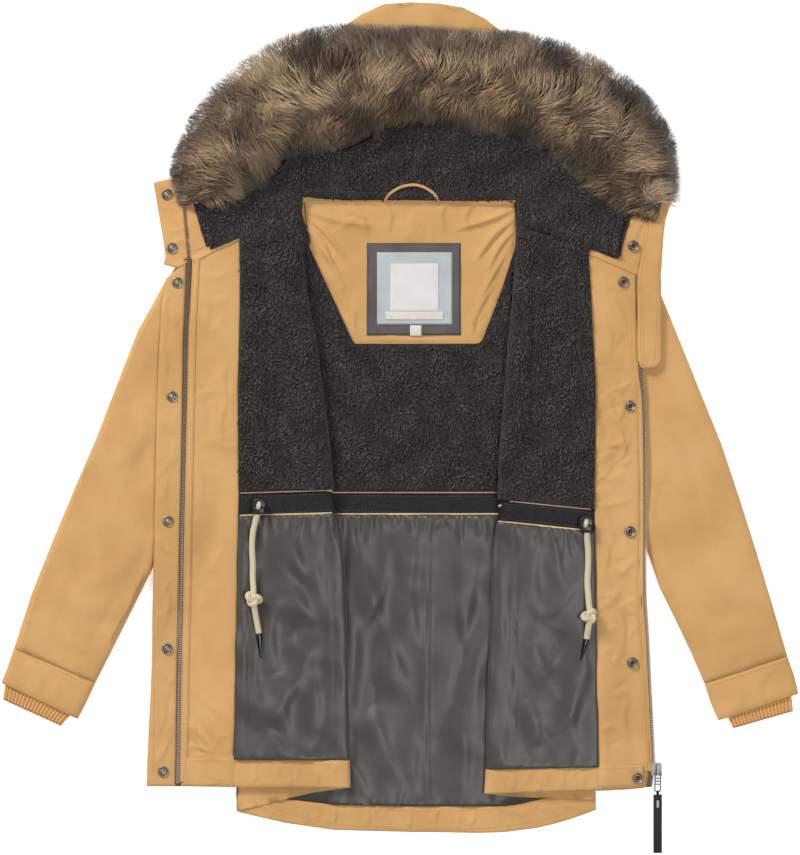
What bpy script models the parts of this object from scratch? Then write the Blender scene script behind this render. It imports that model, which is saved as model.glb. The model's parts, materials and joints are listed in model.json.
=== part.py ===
"""Fur trimmed parka, lying open on its back with each front folded out over its sleeve.

The coat rests on z = 0 with its hood towards +Y.  Each front runs in from the side seam, turns back
on itself in a soft fold and lies lining side up over body, sleeve and floor.  Sizes and places are in
millimetres and become metres where a mesh is made.
"""

import math

import bmesh
import bpy
import numpy as np
from mathutils import Matrix, Vector

MM = 0.001
GAP = 0.3  # between two pieces, at seams and where one lies on another

# cloth, as thick as it is with its backing
SHELL = 3.0
FLEECE = 5.0
LINING = 2.0
FACING = 2.0
TAPE = 2.5
ZIP_TAPE = 1.5
FLAP = 3.0
YOKE = 2.0

# the fold of a front
FOLD_R = 4.0
WRAP = 18.0  # how far the lining runs on under the fold
SETTLE = 45.0  # from here outwards the folded layers lie flat on each other
STACK = 2 * FOLD_R

# gathers of the lining under the waist channel
GATHER_HIGH = 1.3
GATHER_RUN = 95.0
PUCKER_RUN = 40.0
GATHER_PITCH = 21.0

# sleeves
SLEEVE_HIGH = 12.0
SLEEVE_WALL = 4.5
CUFF_HIGH = 15.0
CUFF_WALL = 3.5
RIB_WALL = 2.0
RIB_RIDGE = 0.8
RIB_RIDGES = 32

# fur
FUR_HIGH = 55.0
FUR_RIM = 3.0
FUR_BED = SHELL + GAP

# snaps, cords and zip
SNAP_R = 7.5
CORD_R = 4.0
STOPPER_R = 7.0
STOPPER_LONG = 20.0
WIRE_R = 0.9


def table(names, *rows):
    """Rows of numbers under named columns."""
    return dict(zip(names.split(), np.array(rows, float).T))


# edges of the body, by height on the back
BODY = table(
    "y left right",
    (-530, -213, 255),
    (0, -213, 255),
    (35, -213, 262),
    (250, -262, 304),
)
HEM = table(
    "x edge line",
    (-213, -500, -478),
    (-163, -513, -482),
    (-84, -524, -491),
    (28, -527, -493),
    (104, -527, -492),
    (184, -517, -484),
    (226, -505, -478),
    (255, -484, -470),
)
BACK_TOP = table("x edge", (-262, 250), (-124, 301), (21, 295), (152, 290), (304, 250))
YOKE_SIDES = table(
    "y left right",
    (-530, -84, 104),
    (-83, -84, 104),
    (109, -60, 105),
    (140, -78, 116),
    (181, -93, 133),
    (218, -109, 147),
    (250, -126, 153),
)

# each front, by height: opening edge, zip, seam of facing and lining, edge of the fold
LEFT = table(
    "y open zip seam fold",
    (-468, -330, -289, -216, -64),
    (-432, -329, -288, -216, -65),
    (-388, -327, -288, -215, -66),
    (-333, -324, -287, -214, -67),
    (-275, -322, -286, -213, -68),
    (-224, -321, -285, -212, -70),
    (-163, -320, -283, -211, -73),
    (-116, -319, -282, -210, -81),
    (-81, -318, -281, -209, -86),
    (-24, -317, -280, -209, -90),
    (36, -316, -279, -210, -98),
    (119, -312, -278, -208, -109),
    (162, -310, -276, -207, -118),
    (208, -304, -274, -207, -124),
    (262, -304, -274, -209, -130),
)
RIGHT = table(
    "y open zip seam fold",
    (-476, 325, 322, 258, 109),
    (-444, 332, 329, 258, 111),
    (-390, 330, 327, 257, 112),
    (-352, 328, 325, 256, 113),
    (-275, 323, 320, 255, 116),
    (-224, 320, 317, 255, 118),
    (-163, 319, 316, 254, 120),
    (-123, 319, 316, 253, 127),
    (-84, 319, 316, 252, 127),
    (-25, 318, 315, 253, 129),
    (52, 317, 314, 254, 136),
    (103, 314, 311, 251, 139),
    (142, 313, 310, 249, 144),
    (192, 320, 317, 247, 147),
    (232, 326, 323, 244, 151),
    (262, 326, 323, 244, 153),
)
LEFT_ROWS = table(
    "open fold",
    (-467, -468),
    (-432, -432),
    (-395, -395),
    (-350, -350),
    (-300, -300),
    (-250, -250),
    (-210, -210),
    (-175, -175),
    (-146, -145),
    (-118, -111),
    (-88, -81),
    (-50, -50),
    (-15, -15),
    (25, 25),
    (65, 65),
    (105, 108),
    (145, 160),
    (178, 212),
    (208, 262),
)
RIGHT_ROWS = table(
    "open fold",
    (-468, -476),
    (-440, -444),
    (-395, -398),
    (-350, -350),
    (-300, -300),
    (-250, -247),
    (-210, -203),
    (-175, -162),
    (-142, -122),
    (-113, -94),
    (-75, -60),
    (-32, -20),
    (12, 22),
    (55, 62),
    (98, 104),
    (138, 158),
    (168, 210),
    (196, 262),
)
LEFT_NECK = table("x edge", (-304, 208), (-245, 229), (-209, 245), (-130, 262))
RIGHT_NECK = table("x edge", (153, 262), (244, 231), (281, 216), (326, 196))
LEFT_UNDER_HEM = table("x edge", (-213, -499), (-200, -494), (-158, -481), (-64, -468))
RIGHT_UNDER_HEM = table("x edge", (109, -476), (186, -484), (230, -488), (255, -484))
LEFT_WAIST = (9, 10)  # rows of the waist channel's lower and upper edge
RIGHT_WAIST = (8, 9)

# the two long edges of each sleeve, its cuff and its rib, from the armhole down
SLEEVES = {
    "left": {
        "outer": [
            (-262.8, 250), (-304, 193), (-337, 137), (-398, -21), (-439, -115), (-484, -228), (-502, -287),
        ],
        "inner": [(-213.8, 34), (-321, -182), (-358, -257), (-396, -332)],
        "cuff": [((-513, -318), (-408, -358)), ((-518.5, -332), (-419, -379))],
        "rib": [((-506, -318), (-420, -352)), ((-513.5, -336), (-428, -373)), ((-516, -354), (-441, -388))],
    },
    "right": {
        "outer": [(304.8, 250), (333, 190), (382, 68), (423, -33), (463, -159), (495, -265), (504, -297)],
        "inner": [(258.2, 0), (319, -153), (341, -216), (370, -273), (396, -333)],
        "cuff": [((513, -323), (404, -358)), ((518.5, -346), (414, -381))],
        "rib": [((505, -328), (420, -354)), ((509, -350), (427, -375)), ((511, -369), (434, -391))],
    },
}

# hood: neck seam, inner edge of the fur, outer edge of the fur, from left to right
HOOD = table(
    "seam_x seam_y inner_x inner_y outer_x outer_y",
    (-246, 231, -263, 294, -283, 289),
    (-209, 246, -209, 295, -296, 340),
    (-172, 254, -173, 322, -284, 378),
    (-141, 263, -155, 341, -249, 438),
    (-123, 306, -131, 361, -200, 481),
    (-88, 301, -100, 362, -150, 509),
    (-60, 299, -69, 362, -95, 524),
    (-30, 298, -40, 376, -45, 525),
    (0, 297, -10, 393, 0, 521),
    (30, 297, 22, 397, 45, 519),
    (60, 296, 52, 398, 90, 516),
    (88, 295, 78, 389, 135, 514),
    (114, 294, 104, 387, 172, 511),
    (138, 293, 130, 382, 215, 502),
    (158, 291, 165, 374, 255, 482),
    (166, 262, 196, 357, 295, 459),
    (200, 249, 222, 330, 331, 422),
    (244, 233, 252, 304, 353, 385),
    (280, 219, 294, 279, 355, 335),
    (280, 219, 335, 272, 343, 306),
)
HOOD_SHELL = table(
    "neck_x neck_y arch_x arch_y",
    (-258, 253, -254, 345),
    (-215, 269, -232, 405),
    (-170, 286, -190, 452),
    (-124, 303, -135, 484),
    (-88, 301, -84, 515),
    (-50, 299, -50, 538),
    (-20, 298, -22, 551),
    (13, 297, 13, 554),
    (50, 297, 52, 552),
    (80, 296, 82, 547),
    (108, 295, 110, 533),
    (152, 292, 150, 503),
    (200, 281, 215, 473),
    (250, 267, 280, 420),
    (300, 253, 312, 345),
)
COLLARS = {
    "left": [
        [(-303, 210), (-284, 217), (-265, 224), (-247, 230)],
        [(-308, 245), (-289, 247), (-270, 249), (-252, 250)],
        [(-315, 284), (-296, 279), (-276, 274), (-259, 271)],
        [(-321, 319), (-300, 324), (-282, 308), (-266, 292)],
    ],
    "right": [
        [(326, 198), (311, 205), (296, 212), (283, 218)],
        [(334, 232), (319, 237), (303, 241), (289, 245)],
        [(345, 268), (330, 267), (314, 263), (296, 259)],
        [(356, 303), (338, 300), (319, 287), (300, 273)],
    ],
}

# place of every snap on its front, and of those on the collar
SNAPS = {
    "left": [(-296, 233), (-289, 188), (-296, 40), (-301, -122), (-303, -288), (-308, -448)],
    "right": [(303, 236), (290, 189), (299, 28), (299, -135), (302, -306), (309, -456)],
}
LEFT_TOP_SNAP = (-303, 303)

# drawcords from the stopper to the aglet: place, height over the lining, radius
LEFT_CORD = table(
    "x y rise radius",
    (-185, -114, 5.0, 4.0),
    (-188, -124, 2.0, 4.0),
    (-191, -138, 0.5, 4.0),
    (-192, -156, 0.0, 4.0),
    (-191, -176, 0.0, 4.0),
    (-191, -195, 2.0, 4.0),
    (-190, -208, 5.0, 5.0),
    (-190, -215, 7.0, 10.0),
    (-190, -223, 7.0, 11.0),
    (-189, -231, 7.0, 9.5),
    (-188, -238, 5.0, 4.5),
    (-186, -250, 1.5, 4.0),
    (-183, -266, 0.0, 4.0),
)
RIGHT_CORD = table(
    "x y rise radius",
    (242, -138, 5.0, 4.0),
    (243, -148, 2.0, 4.0),
    (244, -162, 0.5, 4.0),
    (244, -180, 0.0, 4.0),
    (243, -200, 0.0, 4.0),
    (244, -217, 2.0, 4.0),
    (245, -230, 5.0, 5.0),
    (246, -237, 7.0, 10.0),
    (246, -245, 7.0, 11.0),
    (245, -253, 7.0, 9.5),
    (244, -260, 5.0, 4.5),
    (243, -268, 1.5, 4.0),
    (242, -272, 0.5, 4.0),
)
CORDS = {
    "left": {"line": LEFT_CORD, "stopper": (-184, -102), "tip": (-180, -299)},
    "right": {"line": RIGHT_CORD, "stopper": (241, -126), "tip": (235, -301)},
}

# zip pull
SLIDER_X = 335.5
PIVOT = (SLIDER_X, -448.5, 10.2)
LINK_END = (SLIDER_X, -474.0, 3.3)
LINK_WIDE = 9.0
PULL_WIDE = 11.0
PULL_END = -554.0


def read(lines, name, at, key="y"):
    """Value of a named column at a place between the table's rows."""
    return np.interp(at, lines[key], lines[name])


def smooth(share):
    share = np.clip(share, 0.0, 1.0)
    return share * share * (3.0 - 2.0 * share)


def fade(distance, hold, run):
    """1 up to a distance, then softly down to 0."""
    return 1.0 - smooth((distance - hold) / run)


def outside(outline, x, y):
    """Distance from a closed outline, 0 inside it."""
    inside, nearest = False, math.inf
    for (ax, ay), (bx, by) in zip(outline, outline[1:] + outline[:1]):
        if (ay > y) != (by > y) and x < (bx - ax) * (y - ay) / (by - ay) + ax:
            inside = not inside
        run = np.array([bx - ax, by - ay])
        share = np.clip(np.dot([x - ax, y - ay], run) / np.dot(run, run), 0, 1)
        nearest = min(nearest, math.hypot(ax + share * run[0] - x, ay + share * run[1] - y))
    return 0.0 if inside else nearest


BODY_OUTLINE = [(-213, -500), (255, -484), (255, 0), (304, 250), (-262, 250), (-213, 35)]
SLEEVE_OUTLINES = [sides["outer"] + sides["inner"][::-1] for sides in SLEEVES.values()]


def bed(y):
    """Height on which a front's lower leg lies: on the fleece, or on the flatter lining."""
    low = SHELL + GAP + LINING + GATHER_HIGH + GAP
    high = SHELL + GAP + FLEECE + GAP
    return np.interp(y, [-150, -100], [low, high])


def spread_height(x, y):
    """Height of a spread front's lining side, as it comes down over body, sleeve and floor."""
    body = (bed(y) + STACK - SHELL) * fade(outside(BODY_OUTLINE, x, y), 6, 45)
    near_sleeve = min(outside(outline, x, y) for outline in SLEEVE_OUTLINES)
    sleeve = (SLEEVE_HIGH + GAP) * fade(near_sleeve, 22, 40)
    return SHELL + max(body, sleeve)


def inset(points, by):
    """The same grid with its border moved inwards by half a seam."""
    points = points.copy()
    for edge, beside in ((0, 1), (-1, -2)):
        for grid in (points, points.transpose(1, 0, 2)):
            step = grid[beside] - grid[edge]
            length = np.linalg.norm(step, axis=1, keepdims=True)
            grid[edge] += by * step / np.maximum(length, 1e-6)
    return points


def split(grid, cells):
    """More columns in a grid: each cell is cut into the given number of equal ones."""
    columns = [grid[:, :1]]
    for number, count in enumerate(cells):
        for share in np.arange(1, count + 1) / count:
            columns.append((grid[:, number] * (1 - share) + grid[:, number + 1] * share)[:, None])
    return np.concatenate(columns, axis=1)


# ---- objects and materials

for old in list(bpy.data.objects):
    bpy.data.objects.remove(old)
COAT = bpy.data.collections.new("fur_trimmed_parka")
CUTTERS = bpy.data.collections.new("cutters")
bpy.context.scene.collection.children.link(COAT)
bpy.context.scene.collection.children.link(CUTTERS)


def material(name, colour, roughness, metallic=0.0):
    made = bpy.data.materials.new(name)
    made.use_nodes = True
    shader = made.node_tree.nodes["Principled BSDF"]
    shader.inputs["Base Color"].default_value = (*colour, 1.0)
    shader.inputs["Roughness"].default_value = roughness
    shader.inputs["Metallic"].default_value = metallic
    made.diffuse_color = (*colour, 1.0)
    return made


CAMEL = material("camel_cloth", (0.64, 0.37, 0.14), 0.75)
SHERPA = material("sherpa_fleece", (0.069, 0.060, 0.061), 0.95)
TAFFETA = material("taffeta_lining", (0.102, 0.095, 0.084), 0.45)
BLACK_TAPE = material("black_tape", (0.009, 0.009, 0.010), 0.7)
FUR = material("faux_fur", (0.30, 0.21, 0.15), 0.9)
KNIT = material("rib_knit", (0.60, 0.34, 0.13), 0.85)
ZIP_CLOTH = material("zip_tape", (0.21, 0.17, 0.14), 0.7)
LABEL = material("label_cloth", (0.11, 0.11, 0.11), 0.7)
PALE_LABEL = material("pale_label", (0.48, 0.55, 0.60), 0.6)
CORD = material("drawcord", (0.67, 0.54, 0.33), 0.85)
SNAP_METAL = material("snap_metal", (0.45, 0.38, 0.28), 0.35, 1.0)
SILVER = material("zip_metal", (0.75, 0.75, 0.75), 0.25, 1.0)
BLACK_PLASTIC = material("black_plastic", (0.012, 0.012, 0.013), 0.4)
DARK_METAL = material("dark_metal", (0.05, 0.05, 0.055), 0.35, 1.0)


def add(name, data, finish):
    """A named piece of the coat, with its one material."""
    piece = bpy.data.objects.new(name, data)
    data.materials.append(finish)
    COAT.objects.link(piece)
    return piece


def wall(name, inner, outer, finish, keep=None):
    """Closed wall between two grids of points that share their rows and columns."""
    rows, columns = inner.shape[:2]
    inner, outer = inner.reshape(-1, 3) * MM, outer.reshape(-1, 3) * MM
    bm = bmesh.new()
    bmesh.ops.create_grid(bm, x_segments=columns - 1, y_segments=rows - 1, size=1)
    place = bm.verts.layers.int.new("place")
    for number, vert in enumerate(bm.verts):
        vert[place] = number
        vert.co = inner[number]
    if keep is not None:
        gone = [face for face, kept in zip(bm.faces, keep.ravel()) if not kept]
        bmesh.ops.delete(bm, geom=gone, context="FACES")
    bmesh.ops.remove_doubles(bm, verts=bm.verts, dist=1e-6)
    bmesh.ops.triangulate(bm, faces=bm.faces, quad_method="FIXED")
    grown = bmesh.ops.extrude_face_region(bm, geom=bm.faces[:], use_keep_orig=True)
    for vert in grown["geom"]:
        if isinstance(vert, bmesh.types.BMVert):
            vert.co = outer[vert[place]]
    bmesh.ops.recalc_face_normals(bm, faces=bm.faces)
    mesh = bpy.data.meshes.new(name)
    bm.to_mesh(mesh)
    bm.free()
    return add(name, mesh, finish)


class Panel:
    """A cloth surface as rows and named columns of points, with the direction of its lining side."""

    def __init__(self, points, columns, turn=1.0):
        self.points = points
        self.columns = {name: number for number, name in enumerate(columns)}
        down = np.gradient(points, axis=0)
        across = np.gradient(points, axis=1)
        normals = turn * np.cross(across, down)
        self.normals = normals / np.linalg.norm(normals, axis=2, keepdims=True)

    def shell(self, name, finish, thick=SHELL):
        return wall(name, self.points - thick * self.normals, self.points, finish)

    def skin(self, name, rows, columns, thick, finish, under=GAP, cells=None, relief=None):
        """A layer made from the panel's own points, moved out by what lies under it."""
        rows = slice(rows[0], rows[1] + 1)
        first, last = (self.columns[column] for column in columns)
        points = inset(self.points[rows, first:last + 1], GAP / 2)
        normals = self.normals[rows, first:last + 1]
        if cells:
            points, normals = split(points, cells), split(normals, cells)
        inner = points + under * normals
        extra = relief(points)[..., None] if relief else 0.0
        return wall(name, inner, inner + (thick + extra) * normals, finish)

    def height(self, x, y):
        """Height of the panel's upper layer at a place, on its own facets."""
        best = -math.inf
        rows, columns = self.points.shape[:2]
        for row in range(rows - 1):
            for column in range(columns - 1):
                a, b = self.points[row, column], self.points[row, column + 1]
                c, d = self.points[row + 1, column + 1], self.points[row + 1, column]
                for corners in ((a, b, c), (a, c, d)):
                    best = max(best, height_in(corners, x, y))
        return best


def height_in(corners, x, y):
    """Height of a triangle over a place, or minus infinity beside it."""
    (ax, ay, az), (bx, by, bz), (cx, cy, cz) = corners
    area = (bx - ax) * (cy - ay) - (cx - ax) * (by - ay)
    if abs(area) < 1e-6:
        return -math.inf
    second = ((x - ax) * (cy - ay) - (cx - ax) * (y - ay)) / area
    third = ((bx - ax) * (y - ay) - (x - ax) * (by - ay)) / area
    if min(second, third, 1 - second - third) < -1e-6:
        return -math.inf
    return az + second * (bz - az) + third * (cz - az)


def gathers(top, foot):
    """Relief of a lining that is gathered into the waist channel and puckered at the hem."""

    def relief(points):
        x, y = points[..., 0], points[..., 1]
        strength = fade(top - y, 0, GATHER_RUN) + 0.6 * fade(y - foot, 0, PUCKER_RUN)
        wave = 0.5 + 0.5 * np.cos(2 * math.pi * x / GATHER_PITCH + 1.1 * np.sin(x / 37))
        return GATHER_HIGH * np.clip(strength, 0, 1) * wave

    return relief


# ---- back, flat on the floor

BACK_COLUMNS = "left left_hip yoke_left middle_left middle middle_right yoke_right right_hip right".split()
BACK_ROWS = (None, None, -113, -84, 0, 35, 109, 181, 235, None)
BACK_WAIST = (2, 3)
BACK_YOKE = (6, 9)


def back_panel():
    """The back's upper side, column by column from the left seam to the right one."""
    grid = []
    for number, y in enumerate(BACK_ROWS):
        level = {0: -500, 1: -480, len(BACK_ROWS) - 1: 250}.get(number, y)
        left, right = read(BODY, "left", level), read(BODY, "right", level)
        yoke_left, yoke_right = read(YOKE_SIDES, "left", level), read(YOKE_SIDES, "right", level)
        inner = np.linspace(yoke_left, yoke_right, 5)
        across = [left, (left + yoke_left) / 2, *inner, (right + yoke_right) / 2, right]
        if number == 0:
            along = read(HEM, "edge", across, "x")
        elif number == 1:
            along = read(HEM, "line", across, "x")
        elif number == len(BACK_ROWS) - 1:
            along = read(BACK_TOP, "edge", across, "x")
        else:
            along = np.full(len(across), y)
        grid.append([(x, y_here, SHELL) for x, y_here in zip(across, along)])
    return Panel(np.array(grid, float), BACK_COLUMNS)


def build_back():
    back = back_panel()
    back.shell("back_shell", CAMEL)
    top = len(BACK_ROWS) - 1
    low, high = BACK_WAIST
    grid = inset(back.points[high:top], GAP / 2) + [0, 0, GAP]
    keep = np.ones((grid.shape[0] - 1, grid.shape[1] - 1), bool)
    keep[BACK_YOKE[0] - high:, back.columns["yoke_left"]:back.columns["yoke_right"]] = False
    wall("back_fleece", grid, grid + [0, 0, FLEECE], SHERPA, keep)
    yoke = inset(back.points[BACK_YOKE[0]:, 2:7], GAP) + [0, 0, GAP]
    wall("back_yoke", yoke, yoke + [0, 0, YOKE], CAMEL)
    back.skin("back_tape", BACK_WAIST, ("left", "right"), TAPE, BLACK_TAPE)
    build_back_lining(back, low)
    back.skin("back_hem_facing", (0, 1), ("left", "right"), FACING, CAMEL)
    return back


def build_back_lining(back, waist):
    """Taffeta below the waist, in gathers where it shows between the fronts."""
    ends = inset(back.points[1:waist + 1], GAP / 2)
    cells = (1, 3, 6, 6, 6, 6, 3, 1)
    across = split(ends, cells)
    rows = [across[0] * (1 - share) + across[1] * share for share in np.linspace(0, 1, 8)]
    inner = np.array(rows) + [0, 0, GAP]
    relief = gathers(-113, -493)(inner)[..., None] * [0, 0, 1]
    wall("back_lining", inner, inner + [0, 0, LINING] + relief, TAFFETA)


# ---- fronts, folded back on themselves

FRONT_COLUMNS = (
    "open zip_out zip_in flat_a flat_b beside_seam seam middle settle mid_fold near_fold top "
    "turn_a turn_b turn_c under near_under settle_under side"
).split()


def front_panel(side, lines, rows, waist, neck, under_hem):
    """A front's lining side, row by row from the hem, out from the opening and back under the fold."""
    grid = []
    last = len(rows["open"]) - 1
    for number, (y_open, y_fold) in enumerate(zip(rows["open"], rows["fold"])):
        middle = (y_open + y_fold) / 2
        cover = np.interp(number, waist, [LINING, FLEECE]) + GAP
        x_open, x_zip = read(lines, "open", y_open), read(lines, "zip", y_open)
        x_seam = read(lines, "seam", middle)
        x_fold = read(lines, "fold", y_fold) + side * cover
        zip_out, zip_in = (x_zip + 4 * side, x_zip - 4 * side) if side < 0 else (x_zip, x_zip - 5)

        def y_at(x):
            if number == last:
                return float(read(neck, "edge", x, "x"))
            share = np.clip((x - x_open) / (x_fold - x_open), 0, 1)
            return y_open + (y_fold - y_open) * share

        def lift(out):
            return cover * fade(out, WRAP, SETTLE - WRAP)

        beside = x_seam + 6 * side
        upper = [x_open, zip_out, zip_in, (2 * zip_in + beside) / 3, (zip_in + 2 * beside) / 3]
        upper += [beside, x_seam, (x_seam + x_fold + side * SETTLE) / 2]
        upper += [x_fold + side * out for out in (SETTLE, 30, WRAP, FOLD_R)]
        line = []
        for x in upper:
            y = y_at(x)
            line.append((x, y, spread_height(x, y) + lift(side * (x - x_fold))))
        y_turn = y_at(x_fold)
        low = bed(y_turn) + cover
        body_edge = "left" if side < 0 else "right"
        y_side = y_at(read(BODY, body_edge, middle))
        x_side = read(BODY, body_edge, y_side) - side * 2.0
        for angle in (45, 90, 135):
            turn = math.radians(angle)
            x = x_fold + side * FOLD_R * (1 - math.sin(turn))
            line.append((x, y_turn, low + FOLD_R * (1 + math.cos(turn))))
        for x in (x_fold + side * FOLD_R, x_fold + side * WRAP, x_fold + side * SETTLE, x_side):
            y = float(read(under_hem, "edge", x, "x")) if number == 0 else y_at(x)
            line.append((x, y, bed(y) + lift(side * (x - x_fold))))
        grid.append(line)
    return Panel(np.array(grid, float), FRONT_COLUMNS, turn=-side)


def build_front(name, side, lines, rows, waist, neck, under_hem):
    front = front_panel(side, lines, rows, waist, neck, under_hem)
    front.shell(f"{name}_front_shell", CAMEL)
    low, high = waist
    top = len(rows["open"]) - 1
    lined = ("seam", "near_under")
    front.skin(f"{name}_fleece", (high, top), lined, FLEECE, SHERPA)
    front.skin(f"{name}_tape", waist, lined, TAPE, BLACK_TAPE)
    relief = gathers(rows["fold"][low], rows["fold"][1])
    cells = (4, 4, 2, 1, 2, 1, 1, 1, 1, 1)
    front.skin(f"{name}_lining", (1, low), lined, LINING, TAFFETA, cells=cells, relief=relief)
    front.skin(f"{name}_hem_facing", (0, 1), lined, FACING, CAMEL)
    front.skin(f"{name}_facing", (0, top), ("zip_in", "seam"), FACING, CAMEL)
    if side < 0:
        front.skin(f"{name}_zip_tape", (0, top), ("zip_out", "zip_in"), ZIP_TAPE, ZIP_CLOTH)
        front.skin(f"{name}_storm_flap", (0, top), ("open", "zip_out"), FLAP, CAMEL)
    else:
        front.skin(f"{name}_zip_tape", (0, top), ("open", "zip_in"), ZIP_TAPE, ZIP_CLOTH)
    return front


def build_chin_guard():
    """Tab with a round foot that lies over the top of the right zip."""
    rows = (76, 80, 90, 110, 140, 168, 192)
    wide = (6, 11, 14, 15, 15, 15, 15)
    grid = []
    for y, half in zip(rows, wide):
        middle = 322 + 0.02 * (y - 76)
        line = []
        for share in (-1, -0.5, 0, 0.5, 1):
            x = middle + half * share
            line.append((x, y, spread_height(x, y) + GAP + FACING + 2 * GAP))
        grid.append(line)
    grid = np.array(grid, float)
    wall("chin_guard", grid, grid + [0, 0, FLAP], CAMEL)


# ---- sleeves, pressed flat

ALONG = 9


def resample(points, count):
    """Evenly spaced places along a line through the given points."""
    points = np.array(points, float)
    run = np.concatenate([[0], np.cumsum(np.linalg.norm(np.diff(points, axis=0), axis=1))])
    at = np.linspace(0, run[-1], count)
    return np.stack([np.interp(at, run, points[:, axis]) for axis in (0, 1)], axis=1)


def flat_ring(start, end, low, high, thick, ridge=None, flats=4, turns=4):
    """One closed section of a flattened tube between two points of its long edges."""
    start, end = np.array(start, float), np.array(end, float)
    wide = np.linalg.norm(end - start)
    along = (end - start) / wide
    radius = (high - low) / 2 - thick
    middle = (high + low) / 2
    near, far = thick + radius, wide - thick - radius
    section = []
    for turn in np.linspace(0, math.pi, turns + 1):
        section.append((near - radius * math.sin(turn), middle - radius * math.cos(turn)))
    section += [(near + (far - near) * share, middle + radius) for share in np.arange(1, flats) / flats]
    for turn in np.linspace(0, math.pi, turns + 1):
        section.append((far + radius * math.sin(turn), middle + radius * math.cos(turn)))
    section += [(far - (far - near) * share, middle - radius) for share in np.arange(1, flats) / flats]
    section.append(section[0])
    if ridge is not None:
        section = [(out, up + (ridge * (number % 2) * np.sign(up - middle)))
                   for number, (out, up) in enumerate(section)]
    return [(*(start + along * out), up) for out, up in section]


def build_sleeve(name, sides):
    outer, inner = resample(sides["outer"], ALONG), resample(sides["inner"], ALONG)
    skins = [
        [flat_ring(a, b, 0, SLEEVE_HIGH, thick) for a, b in zip(outer, inner)]
        for thick in (SLEEVE_WALL, 0)
    ]
    wall(f"{name}_sleeve", np.array(skins[0]), np.array(skins[1]), CAMEL)
    seam = inner[-1] - outer[-1]
    beyond = np.array([seam[1], -seam[0]]) / np.linalg.norm(seam)
    beyond *= math.copysign(GAP + 0.05, -beyond[1])
    sections = [(outer[-1] + beyond, inner[-1] + beyond), *sides["cuff"]]
    highs = np.linspace(SLEEVE_HIGH, CUFF_HIGH, len(sections))
    cuff = [
        [flat_ring(a, b, 0, high, thick) for (a, b), high in zip(sections, highs)]
        for thick in (CUFF_WALL, 0)
    ]
    wall(f"{name}_cuff", np.array(cuff[0]), np.array(cuff[1]), CAMEL)
    low = CUFF_WALL + GAP
    tops = (low + 4.8, low + 6.6, low + 6.6)
    flats = RIB_RIDGES - 4
    plain = [flat_ring(a, b, low + RIB_RIDGE, top, RIB_WALL, flats=flats, turns=4)
             for (a, b), top in zip(sides["rib"], tops)]
    ribbed = [flat_ring(a, b, low + RIB_RIDGE, top, 0, ridge, flats=flats, turns=4)
              for (a, b), top, ridge in zip(sides["rib"], tops, (0.0, RIB_RIDGE, RIB_RIDGE))]
    wall(f"{name}_rib", np.array(plain), np.array(ribbed), KNIT)


# ---- hood, laid out behind the neck

FUR_SECTION = table(
    "across high",
    (0.00, 0.00),
    (0.07, 0.42),
    (0.20, 0.80),
    (0.36, 1.00),
    (0.54, 0.97),
    (0.74, 0.74),
    (0.90, 0.40),
    (1.00, 0.00),
)


def blend_rows(first, last, shares):
    return np.array([first * (1 - share) + last * share for share in shares])


def build_hood():
    neck = np.stack([HOOD_SHELL["neck_x"], HOOD_SHELL["neck_y"]], axis=1)
    arch = np.stack([HOOD_SHELL["arch_x"], HOOD_SHELL["arch_y"]], axis=1)
    flat = blend_rows(neck, arch, (0, 1))
    floor = np.concatenate([flat, np.zeros((*flat.shape[:2], 1))], axis=2)
    wall("hood_shell", floor, floor + [0, 0, SHELL], CAMEL)
    build_hood_fleece()
    build_fur()


def build_collar(name, corners):
    grid = np.array([[(x, y, spread_height(x, y)) for x, y in row] for row in corners], float)
    wall(f"{name}_collar", grid - [0, 0, SHELL], grid, CAMEL)
    return Panel(grid, ())


def seam_height(x, y):
    """Where the hood's fleece starts: on the fold of a front, or on the back's own level."""
    if -130 < x < 153:
        return SHELL + GAP
    fold = -130 - FLEECE - GAP if x < 0 else 153 + FLEECE + GAP
    return spread_height(x, y) + GAP + (FLEECE + GAP) * fade(abs(x - fold), WRAP, SETTLE - WRAP)


def build_hood_fleece():
    """Fleece inside the hood, a shallow bowl between the neck seam and the fur."""
    seam = np.stack([HOOD["seam_x"], HOOD["seam_y"]], axis=1)[:-1]
    rim = np.stack([HOOD["inner_x"], HOOD["inner_y"]], axis=1)[:-1]
    towards = seam - rim
    rim = rim + 1.5 * towards / np.linalg.norm(towards, axis=1, keepdims=True)
    starts = np.array([seam_height(x, y) for x, y in seam])
    rows = []
    for share in (0, 0.2, 0.45, 0.7, 0.88, 1.0):
        flat = seam * (1 - share) + rim * share
        settled = smooth(share / 0.8)
        height = starts * (1 - settled) + (SHELL + GAP) * settled + 11 * share ** 3
        rows.append(np.column_stack([flat, height]))
    grid = np.array(rows)
    wall("hood_fleece", grid, grid + [0, 0, FLEECE], SHERPA)


def build_fur():
    """Ruff of long pile round the hood's edge, out to the tips of its hairs."""
    inner = np.stack([HOOD["inner_x"], HOOD["inner_y"]], axis=1)
    outer = np.stack([HOOD["outer_x"], HOOD["outer_y"]], axis=1)
    count = len(inner)
    ends = np.minimum(np.arange(count), np.arange(count)[::-1]) / 3
    full = 0.5 + 0.5 * smooth(ends)
    low, high = [], []
    for share, rise in zip(FUR_SECTION["across"], FUR_SECTION["high"]):
        flat = inner * (1 - share) + outer * share
        rest = [FUR_BED + 1.8 * (spread_height(x, y) - SHELL) for x, y in flat]
        lump = 1 + 0.07 * np.sin(1.9 * np.arange(count) + 5 * share)
        low.append(np.column_stack([flat, rest]))
        tall = FUR_RIM + (FUR_HIGH - FUR_RIM) * rise * full * lump
        top = np.maximum(FUR_BED + tall, np.array(rest) + FUR_RIM)
        high.append(np.column_stack([flat, top]))
    wall("fur_trim", np.array(low), np.array(high), FUR)


# ---- label and loop

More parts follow.
